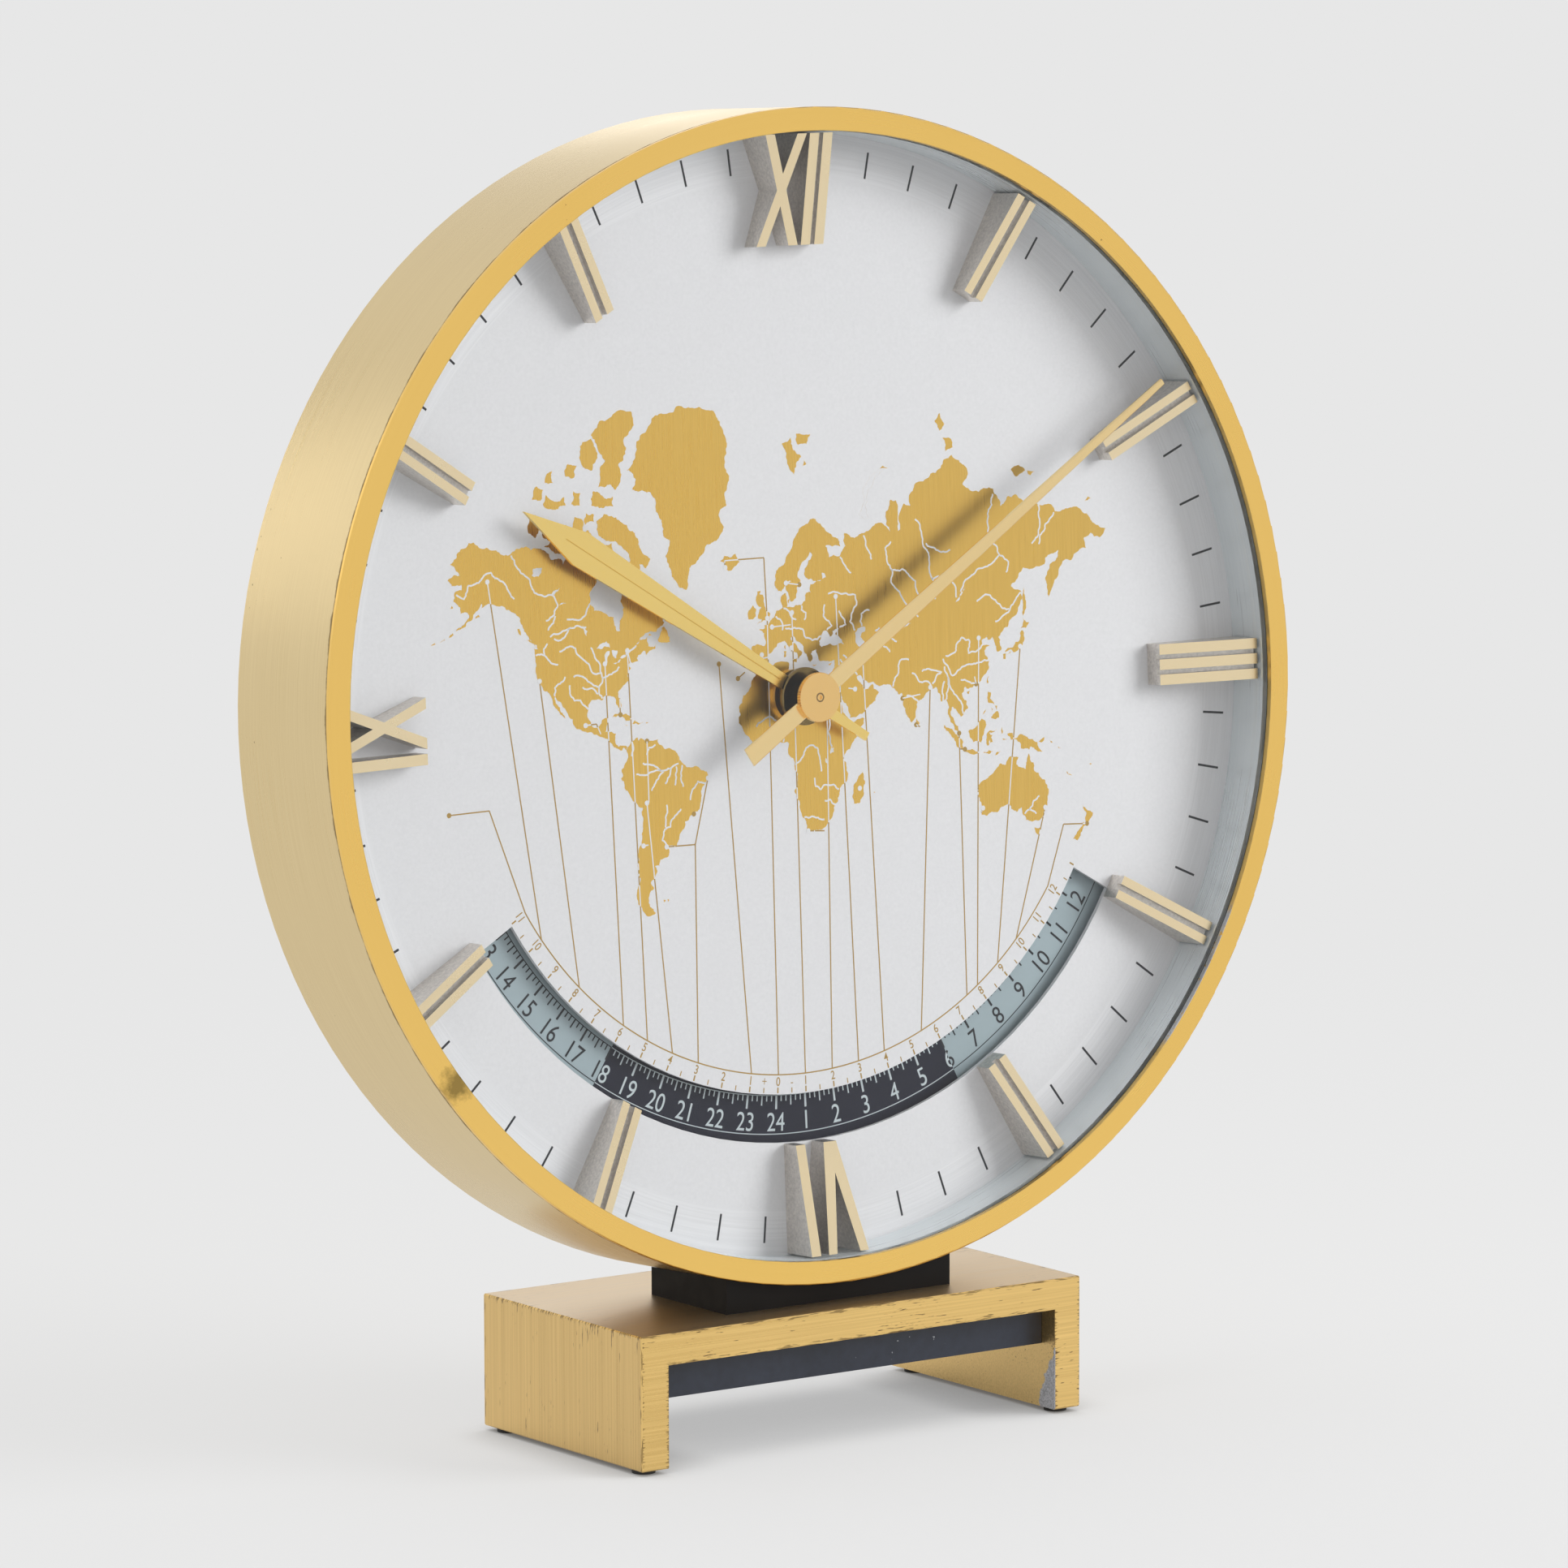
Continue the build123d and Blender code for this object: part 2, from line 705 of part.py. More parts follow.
def minute_hand():
    """Slim tapered hand with bevelled long edges, a round boss and a collet."""
    low = minute_hand_level
    high = minute_hand_level + minute_hand_thickness
    tip = minute_tip_width / 2
    tail = minute_tail_width / 2
    hand = prism([(-tail, -minute_hand_tail), (tail, -minute_hand_tail),
                  (tip, minute_hand_length), (-tip, minute_hand_length)], low, high)
    front_edges = hand.faces().sort_by(Axis.Z)[-1].edges()
    hand = chamfer(front_edges.filter_by(lambda edge: edge.length > minute_hand_length), minute_hand_bevel)
    hand = hand + disc(minute_boss_radius, low, high)
    hand = hand + disc(minute_collet_radius, hour_disc_front + hand_clearance, low)
    hand = drilled(hand, minute_arbor_radius, [(0, 0)], hour_disc_front, high)
    return place(turned(hand, minute_angle))


def hand_nut():
    """Knurled cap that holds the minute hand, with a small blind hole in its middle."""
    low = minute_hand_level + minute_hand_thickness
    high = low + nut_thickness
    cap = knurled_disc(nut_radius, nut_knurls, nut_knurl_depth, low, high)
    cap = cap - disc(nut_hole_radius, high - nut_hole_depth, high + cut_overrun)
    return place(cap - disc(minute_arbor_radius, low - cut_overrun, minute_arbor_front))


def minute_arbor():
    """Long arbor from the back plate through the dial to the cap."""
    return place(disc(minute_arbor_radius, -back_plate_back + end_play, minute_arbor_front))


def cannon_pinion():
    """Pinion on the minute arbor that drives the motion work."""
    low = -minute_wheel_depth - end_play
    high = -minute_wheel_depth + gear_thickness + end_play
    body = gear(cannon_teeth, motion_module, minute_train_direction, low, high)
    return place(drilled(body, minute_arbor_radius, [(0, 0)], low, high))


def centre_wheel():
    """Wheel on the minute arbor, driven by the movement."""
    low = -centre_wheel_depth
    body = gear(centre_wheel_teeth, centre_module, third_direction, low, low + gear_thickness)
    collar = disc(minute_arbor_radius + arbor_collar, low, -carrier_back - end_play)
    return place(drilled(body + collar, minute_arbor_radius, [(0, 0)], low, -carrier_back))


def hour_hand():
    """Leaf-shaped hand with a pointed end, a fine groove, a round disc and a collet."""
    low = hour_hand_level
    high = hour_hand_level + hour_hand_thickness
    root = hour_root_width / 2
    belly = hour_belly_width / 2
    tail = hour_tail_width / 2
    hand = prism([(-tail, -hour_hand_tail), (tail, -hour_hand_tail), (root, 0), (belly, hour_belly_distance),
                  (0, hour_hand_length), (-belly, hour_belly_distance), (-root, 0)], low, high)
    half = hour_groove_width / 2
    start = hour_disc_radius + hour_groove_margin
    end = hour_belly_distance + hour_groove_overshoot
    hand = hand - block(-half, half, start, end, high - hour_groove_depth, high + cut_overrun)
    rim = disc(hour_disc_radius, low, hour_disc_front)
    hand = hand + fillet(rim.edges().sort_by(Axis.Z)[-1:], hour_disc_round)
    hand = hand + disc(hour_collet_radius, bushing_flange_thickness + hand_clearance, low)
    return place(turned(drilled(hand, hour_tube_radius, [(0, 0)], 0, hour_disc_front), hour_angle))


def minute_pinion_phase():
    """The minute pinion has a tooth that points at the dial's centre."""
    return minute_train_direction + 180


def minute_wheel_phase():
    """Phase of the minute wheel, in mesh with the cannon pinion."""
    return mesh_phase(minute_train_direction, cannon_teeth, minute_wheel_teeth, minute_train_direction)


def hour_wheel():
    """Tube round the minute arbor with the hour wheel and the pinion of the world train."""
    low = -hour_wheel_depth
    towards_centre = minute_train_direction + 180
    phase = mesh_phase(minute_pinion_phase(), minute_pinion_teeth, hour_wheel_teeth, towards_centre)
    wheel = gear(hour_wheel_teeth, motion_module, phase, low, low + gear_thickness)
    pinion_low = -idler_wheel_depth - end_play
    pinion_high = -idler_wheel_depth + gear_thickness + end_play
    pinion = gear(hour_pinion_teeth, motion_module, idler_direction, pinion_low, pinion_high)
    stem = disc(hour_tube_radius, low, hour_disc_front)
    return place(drilled(wheel + pinion + stem, hour_tube_bore, [(0, 0)], low, hour_disc_front))


def minute_wheel():
    """Wheel and pinion that step the minute hand down to the hour hand."""
    low = -minute_wheel_depth
    high = -hour_wheel_depth + gear_thickness + end_play
    phase = minute_wheel_phase()
    wheel = gear(minute_wheel_teeth, motion_module, phase, low, low + gear_thickness, minute_wheel_at)
    pinion = gear(minute_pinion_teeth, motion_module, minute_pinion_phase(), low, high, minute_wheel_at)
    return place(drilled(wheel + pinion, post_radius + running_clearance, [minute_wheel_at], low, high))


def world_idler():
    """Wheel and pinion that step the hour hand down to the world time ring."""
    low = -idler_wheel_depth
    high = -ring_gear_depth + gear_thickness + end_play
    phase = mesh_phase(idler_direction, hour_pinion_teeth, idler_wheel_teeth, idler_direction)
    wheel = gear(idler_wheel_teeth, motion_module, phase, low, low + gear_thickness, idler_at)
    pinion = gear(idler_pinion_teeth, motion_module, idler_direction + 180, low, high, idler_at)
    return place(drilled(wheel + pinion, post_radius + running_clearance, [idler_at], low, high))


def world_time_ring():
    """Flat 24-hour ring on three spokes; only a part of it shows in the window."""
    wheel = tube(ring_outer_radius, ring_inner_radius, -ring_back, -ring_setback)
    wheel = wheel + disc(ring_hub_radius, -ring_back, -dial_thickness - end_play)
    half = ring_spoke_width / 2
    reach = (ring_inner_radius + ring_outer_radius) / 2
    arm = block(-half, half, 0, reach, -ring_back, -ring_setback)
    for spoke in range(ring_spokes):
        wheel = wheel + turned(arm, 360 * spoke / ring_spokes)
    return place(drilled(wheel, ring_hub_bore, [(0, 0)], -ring_back, 0))


def ring_hub_gear():
    """Gear on the back of the world time ring's hub."""
    low = -ring_gear_depth
    phase = mesh_phase(idler_direction + 180, idler_pinion_teeth, ring_gear_teeth, idler_direction + 180)
    body = gear(ring_gear_teeth, motion_module, phase, low, low + gear_thickness)
    body = body + disc(ring_hub_radius, low, -ring_back)
    return place(drilled(body, ring_hub_bore, [(0, 0)], low, -ring_back))


def dial_bushing():
    """Flanged bushing in the dial on which the world time ring turns."""
    back = -clip_back - end_play
    barrel = disc(bushing_radius, back, 0)
    barrel = barrel + disc(bushing_radius + bushing_flange_width, 0, bushing_flange_thickness)
    groove_outer = bushing_radius + cut_overrun
    barrel = barrel - tube(groove_outer, bushing_radius - clip_groove_depth, -clip_back, -clip_front)
    return place(drilled(barrel, bushing_bore, [(0, 0)], back, bushing_flange_thickness))


def bushing_clip():
    """Clip in the bushing's groove that keeps the ring on."""
    inner = bushing_radius - clip_groove_depth
    return place(tube(inner + clip_width, inner, -clip_back, -clip_front))


def train_posts():
    """Two shouldered posts in the carrier plate for the minute wheel and the world idler."""
    posts = []
    levels = [(minute_wheel_at, minute_wheel_depth, hour_wheel_depth)]
    levels += [(idler_at, idler_wheel_depth, ring_gear_depth)]
    for at, bottom, top in levels:
        wheel_top = -top + gear_thickness + 2 * end_play
        post = disc(post_radius, -carrier_back, wheel_top, at)
        post = post + disc(post_radius + post_shoulder, -carrier_front, -bottom - end_play, at)
        head = disc(post_radius + post_head_overhang, wheel_top, wheel_top + post_head_thickness, at)
        posts.append(post + head)
    return place(group(posts))


def third_wheel():
    """Fast wheel and pinion between the motor and the centre wheel."""
    phase = mesh_phase(third_direction, centre_wheel_teeth, third_pinion_teeth, third_direction)
    low = -third_wheel_depth
    middle = low + gear_thickness
    high = -centre_wheel_depth + gear_thickness + end_play
    wheel = gear(third_wheel_teeth, centre_module, third_direction, low, middle, third_at)
    pinion = gear(third_pinion_teeth, centre_module, phase, middle, high, third_at)
    arbor_front = -carrier_back + carrier_thickness / 2
    arbor = disc(third_arbor_radius, -back_plate_back + end_play, arbor_front, third_at)
    collar = disc(third_arbor_radius + arbor_collar, -back_plate_front + end_play, low, third_at)
    return place(wheel + pinion + arbor + collar)


def setting_arbor():
    """Arbor and pinion that turn the minute wheel when the rear knob is turned."""
    low = -minute_wheel_depth - end_play
    high = -minute_wheel_depth + gear_thickness + end_play
    phase = mesh_phase(minute_wheel_phase(), minute_wheel_teeth, setting_pinion_teeth, setting_direction)
    pinion = gear(setting_pinion_teeth, motion_module, phase, low, high, setting_at)
    return place(pinion + disc(setting_arbor_radius, -knob_front - knob_thickness / 2, high, setting_at))


def setting_knob():
    """Round ribbed knob behind the housing."""
    low = -knob_front - knob_thickness
    knob = knurled_disc(knob_radius, knob_knurls, knob_knurl_depth, low, -knob_front, setting_at)
    socket = disc(setting_arbor_radius, low + knob_thickness / 2, -knob_front + cut_overrun, setting_at)
    return place(knob - socket)


# Movement

def movement_drilled(shape, low, high, clearance):
    """Shape with the holes for the arbors and screws that pass through it."""
    shape = drilled(shape, minute_arbor_radius + clearance, [(0, 0)], low, high)
    shape = drilled(shape, setting_arbor_radius + clearance, [setting_at], low, high)
    shape = drilled(shape, third_arbor_radius + clearance, [third_at], low, high)
    return drilled(shape, small_screw_radius + fit_clearance, pillar_places, low, high)


def movement_plate():
    """Rear plate of the movement, with holes for the arbors and screws."""
    x = back_plate_width / 2
    y = back_plate_height / 2
    plate = block(-x, x, -y, y, -back_plate_back, -back_plate_front)
    return place(movement_drilled(plate, -back_plate_back, -back_plate_front, running_clearance))


def circuit_board():
    """Board on the back of the rear plate."""
    x = back_plate_width / 2 - board_inset
    y = back_plate_height / 2 - board_inset
    board = block(-x, x, -y, y, -board_back, -back_plate_back)
    return place(movement_drilled(board, -board_back, -back_plate_back, 2 * running_clearance))


def plate_pillars():
    """Four pillars between the carrier plate and the rear plate."""
    pillars = []
    for at in pillar_places:
        pillars.append(tube(pillar_radius, small_screw_radius, -back_plate_front, -carrier_back, at))
    return place(group(pillars))


def clock_chip():
    """Square driver chip on the board."""
    half = chip_size / 2
    low = -board_back - chip_thickness
    return place(block(chip_x - half, chip_x + half, chip_y - half, chip_y + half, low, -board_back))


def quartz_crystal():
    """Small can with the quartz crystal, lying on the board."""
    middle = Pos(crystal_x, crystal_y, -board_back - crystal_radius)
    return place(middle * Rot(0, 90, 0) * Cylinder(crystal_radius, crystal_length))


def coil_place():
    """Middle of the motor's coil, with its length along x."""
    return Pos(0, coil_height, -carrier_back - movement_gap / 2) * Rot(0, 90, 0)


def motor_coil():
    """Winding of the stepping motor."""
    outer = movement_gap / 2 - end_play - coil_cheek_overhang
    winding = Cylinder(outer, coil_length) - Cylinder(coil_core_radius, coil_length + cut_overrun)
    return place(coil_place() * winding)


def motor_bobbin():
    """Core with two cheeks that hold the winding."""
    cheek_radius = movement_gap / 2 - end_play
    half = coil_length / 2
    bobbin = disc(coil_core_radius, -coil_core_reach, coil_core_reach)
    bobbin = bobbin + disc(cheek_radius, half, half + coil_cheek_thickness)
    bobbin = bobbin + disc(cheek_radius, -half - coil_cheek_thickness, -half)
    return place(coil_place() * bobbin)


def motor_stators():
    """Two folded yokes on the ends of the core."""
    y_low = coil_height - stator_depth / 2
    y_high = coil_height + stator_depth / 2
    x_low = coil_length / 2 + coil_cheek_thickness
    x_high = x_low + stator_width
    z_low = -back_plate_front
    z_high = -carrier_back
    yoke = block(x_low, x_high, y_low, y_high, z_low, z_high)
    yoke = yoke - block(x_low + stator_thickness, x_high + cut_overrun, y_low - cut_overrun,
                        y_high + cut_overrun, z_low + stator_thickness, z_high - stator_thickness)
    yoke = yoke - coil_place() * Cylinder(coil_core_radius, 2 * coil_core_reach)
    return place(group([yoke, mirror(yoke, Plane.YZ)]))


def movement_housing():
    """Black moulded housing over the movement, with a battery bay, ears and rails for the cover."""
    x = housing_half_width
    room = room_half_width
    high = -carrier_back + cut_overrun
    body = block(-x, x, -housing_bottom, housing_top, -housing_back, -carrier_back)
    body = fillet(body.edges().filter_by(Axis.Z), housing_corner)
    body = body - block(-room, room, -room_half_height, room_half_height, -housing_floor, high)
    bay_low = -battery_drop - bay_half_height
    bay_high = -battery_drop + bay_half_height
    body = body - block(-room, room, bay_low, bay_high, -housing_floor, high)
    reach = battery_length / 2 + terminal_length + battery_clearance
    body = body - block(-reach, reach, bay_low, bay_high, -housing_back - cut_overrun, high)
    body = body + ears() + door_rails()
    knob_hole = setting_arbor_radius + running_clearance
    return place(drilled(body, knob_hole, [setting_at], -housing_back, -housing_floor))


def ears():
    """Four screw ears at the sides of the housing."""
    half = ear_width / 2
    high = -carrier_back
    tabs = []
    for side in (-1, 1):
        x_low, x_high = sorted((side * room_half_width, side * (housing_half_width + ear_length)))
        for y in ear_rows:
            tabs.append(block(x_low, x_high, y - half, y + half, high - ear_thickness, high))
    plates = tabs[0] + tabs[1] + tabs[2] + tabs[3]
    return drilled(plates, small_screw_radius + fit_clearance, ear_places, high - ear_thickness, high)


def door_rails():
    """Two hooked rails and an end stop that hold the battery cover."""
    lip_high = -door_back - door_gap
    lip_low = lip_high - rail_lip_thickness
    outer = rail_inner + rail_wall
    end = -door_half_width - door_gap
    rails = block(end - rail_wall, end, -battery_drop - outer, -battery_drop + outer, lip_low, -housing_back)
    for side in (-1, 1):
        wall = sorted((-battery_drop + side * rail_inner, -battery_drop + side * outer))
        lip = sorted((-battery_drop + side * (rail_inner - rail_lip), -battery_drop + side * outer))
        rails = rails + block(end, door_half_width, wall[0], wall[1], lip_low, -housing_back)
        rails = rails + block(end, door_half_width, lip[0], lip[1], lip_low, lip_high)
    return rails


def battery_cover():
    """Cover that slides sideways off the battery bay, with a ribbed finger grip."""
    low = -battery_drop - door_half_height
    high = -battery_drop + door_half_height
    cover = block(-door_half_width, door_half_width, low, high, -door_back, -door_front)
    grip = door_grip_length / 2
    half = door_grip_width / 2
    for rib in range(door_grip_count):
        x = door_half_width - (rib + 2) * door_grip_pitch
        cover = cover + block(x - half, x + half, -battery_drop - grip, -battery_drop + grip,
                              -door_back - door_grip_height, -door_back)
    return place(cover)


def battery():
    """Round cell lying across the bay, with its raised terminal."""
    half = battery_length / 2
    cell = disc(battery_radius, -half, half) + disc(terminal_radius, half, half + terminal_length)
    return place(Pos(0, -battery_drop, -battery_depth) * Rot(0, 90, 0) * cell)


def battery_contacts():
    """Two folded contact springs between the ends of the cell and the walls of the bay."""
    y_low = -battery_drop - contact_width / 2
    y_high = -battery_drop + contact_width / 2
    deep = -battery_depth - contact_width / 2
    leaves = []
    for side, cell_end in ((-1, battery_length / 2), (1, battery_length / 2 + terminal_length)):
        wall = sorted((side * (room_half_width - contact_thickness), side * room_half_width))
        tip = sorted((side * cell_end, side * (cell_end + contact_thickness)))
        bend = sorted((side * cell_end, side * room_half_width))
        leaf = block(wall[0], wall[1], y_low, y_high, deep, -carrier_back)
        leaf = leaf + block(tip[0], tip[1], y_low, y_high, deep, -carrier_back)
        leaf = leaf + block(bend[0], bend[1], y_low, y_high, -carrier_back - contact_thickness, -carrier_back)
        leaves.append(leaf)
    return place(group(leaves))


makers = {
    "base_bridge": base_bridge,
    "ballast_bar": ballast_bar,
    "feet": feet,
    "pedestal_block": pedestal,
    "stand_screws": stand_screws,
    "case_band": case_band,
    "bezel": bezel,
    "glass": glass,
    "glass_seal": glass_seal,
    "inner_wall_ring": inner_wall,
    "dial_plate": dial_plate,
    "mounting_ring": mounting_ring,
    "carrier_plate": carrier_plate,
    "back_cover": back_cover,
    "marker_twelve": marker_twelve,
    "marker_three": marker_three,
    "marker_six": marker_six,
    "marker_nine": marker_nine,
    "hour_bars": hour_bars,
    "minute_hand": minute_hand,
    "hand_nut": hand_nut,
    "minute_arbor": minute_arbor,
    "cannon_pinion": cannon_pinion,
    "centre_wheel": centre_wheel,
    "hour_hand": hour_hand,
    "hour_wheel": hour_wheel,
    "minute_wheel": minute_wheel,
    "world_idler": world_idler,
    "world_time_ring": world_time_ring,
    "ring_hub_gear": ring_hub_gear,
    "dial_bushing": dial_bushing,
    "bushing_clip": bushing_clip,
    "train_posts": train_posts,
    "third_wheel": third_wheel,
    "setting_arbor": setting_arbor,
    "setting_knob": setting_knob,
    "movement_plate": movement_plate,
    "plate_pillars": plate_pillars,
    "circuit_board": circuit_board,
    "clock_chip": clock_chip,
    "quartz_crystal": quartz_crystal,
    "motor_coil": motor_coil,
    "motor_bobbin": motor_bobbin,
    "motor_stators": motor_stators,
    "movement_housing": movement_housing,
    "battery_cover": battery_cover,
    "battery": battery,
    "battery_contacts": battery_contacts,
}
nodes = {name: make() for name, make in makers.items()}

carrier_screw_tip = -carrier_back + small_screw_bite
housing_screw_seat = -carrier_back - ear_thickness
cover_screw_tip = -case_depth_behind_dial + small_screw_bite
nodes["carrier_screws"] = small_screws(-carrier_back, carrier_screw_tip, carrier_screw_places)
nodes["plate_screws"] = small_screws(-board_back, -carrier_front - end_play, pillar_places)
nodes["housing_screws"] = small_screws(housing_screw_seat, housing_screw_seat + small_screw_bite, ear_places)
nodes["cover_screws"] = small_screws(-case_depth_behind_dial, cover_screw_tip, cover_screw_places)

os.makedirs("parts", exist_ok=True)
for name, shape in nodes.items():
    export_step(shape, f"parts/{name}.step")
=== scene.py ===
import json
import math
import random

import bmesh
import bpy
from mathutils import Matrix, Vector
from mathutils.geometry import tessellate_polygon


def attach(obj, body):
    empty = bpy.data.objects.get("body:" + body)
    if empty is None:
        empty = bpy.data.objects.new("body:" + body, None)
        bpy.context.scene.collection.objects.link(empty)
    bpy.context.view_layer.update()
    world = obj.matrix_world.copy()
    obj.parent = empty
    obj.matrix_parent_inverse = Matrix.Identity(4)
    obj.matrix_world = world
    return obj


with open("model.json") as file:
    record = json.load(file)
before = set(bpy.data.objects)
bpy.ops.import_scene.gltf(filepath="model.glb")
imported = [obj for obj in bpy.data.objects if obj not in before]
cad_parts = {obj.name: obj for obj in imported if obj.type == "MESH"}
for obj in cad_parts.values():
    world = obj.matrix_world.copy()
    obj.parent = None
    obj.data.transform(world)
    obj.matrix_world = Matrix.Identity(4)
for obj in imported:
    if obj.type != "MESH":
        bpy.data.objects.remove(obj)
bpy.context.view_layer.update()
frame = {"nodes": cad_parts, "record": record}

# Places and measures, in millimetres in the plane of the dial: x right, y up, z towards the viewer.
# Angles are in degrees from the bottom of the dial, positive to the right.

MM = 0.001
HEAD = Matrix.Translation((0, -0.0036, 0.1581748)) @ Matrix.Rotation(math.radians(87), 4, "X")

# How far print stands up. Print on top of other print stands higher by some layers.

PRINT = 0.02
OVERPRINT = 0.035
LAYER = 0.004

# The map and the lines on it. FAR_SHIFT leads to a point well off the dial, and a part of a line that is
# shorter than LEAST_SHARE of it is dropped.

MAP_X = -6.0
MAP_Y = -12.0
MAP_DEGREE = 0.479
MAP_RADIAN = MAP_DEGREE * 180 / math.pi
SEED = 11
COAST_STEP = 0.45
COAST_WOBBLE = 0.18
RIVER_STEP = 0.7
RIVER_WOBBLE = 0.16
BREAK_AT = (0.4, 0.6)
RIVER_WIDTH = 0.38
LINE_WIDTH = 0.28
DOT_RADIUS = 0.55
DOT_SIDES = 20
FAR_SHIFT = (997.0, 13.0)
LEAST_SHARE = 1e-6

# The hour scale above the window, and the minute track.

ARC_LINE = 81.15
SCALE_INNER = 83.9
SCALE_OUTER = 85.1
SCALE_TEXT = 82.55
SCALE_START = -60
SCALE_END = 55
SCALE_STEP = 5
SCALE_TICK_WIDTH = 0.34
HALF_TICK_INNER = 84.0
HALF_TICK_WIDTH = 0.24
SIGNS = (("+", -7.5), ("-", -2.5))
TRACK_INNER = 111.5
TRACK_OUTER = 117.2
TRACK_WIDTH = 0.5

# The 24-hour ring. A tick is the radius it reaches and its width.

RING_FACE = -2.8
HOUR_STEP = 5.0
RING_FIRST = 1.1
RING_REPEATS = 3
DAWN = 6
DUSK = 18
NIGHT_INNER = 82.3
NIGHT_OUTER = 98.2
RING_INNER = 85.8
RING_OUTER = 94.15
RING_LINE_WIDTH = 0.2
RING_TEXT = 91.4
HOUR_TICK = (88.8, 0.5)
HALF_HOUR_TICK = (88.0, 0.33)
TEN_MINUTE_TICK = (87.1, 0.3)

# Figures: height, depth, how narrow against the typeface, and how much bolder. CAP_HEIGHT is how tall the
# typeface's figures are at size 1, and points nearer than SAME_POINT are joined.

CAP_HEIGHT = 0.729
SAME_POINT = 1e-5
SCALE_FIGURE = (1.95, PRINT, 0.84, 0.008)
SCALE_SIGN = (2.2, PRINT, 0.86, -0.012)
RING_FIGURE = (4.2, OVERPRINT, 0.84, 0.0)

# Coasts as longitude, latitude pairs in degrees.

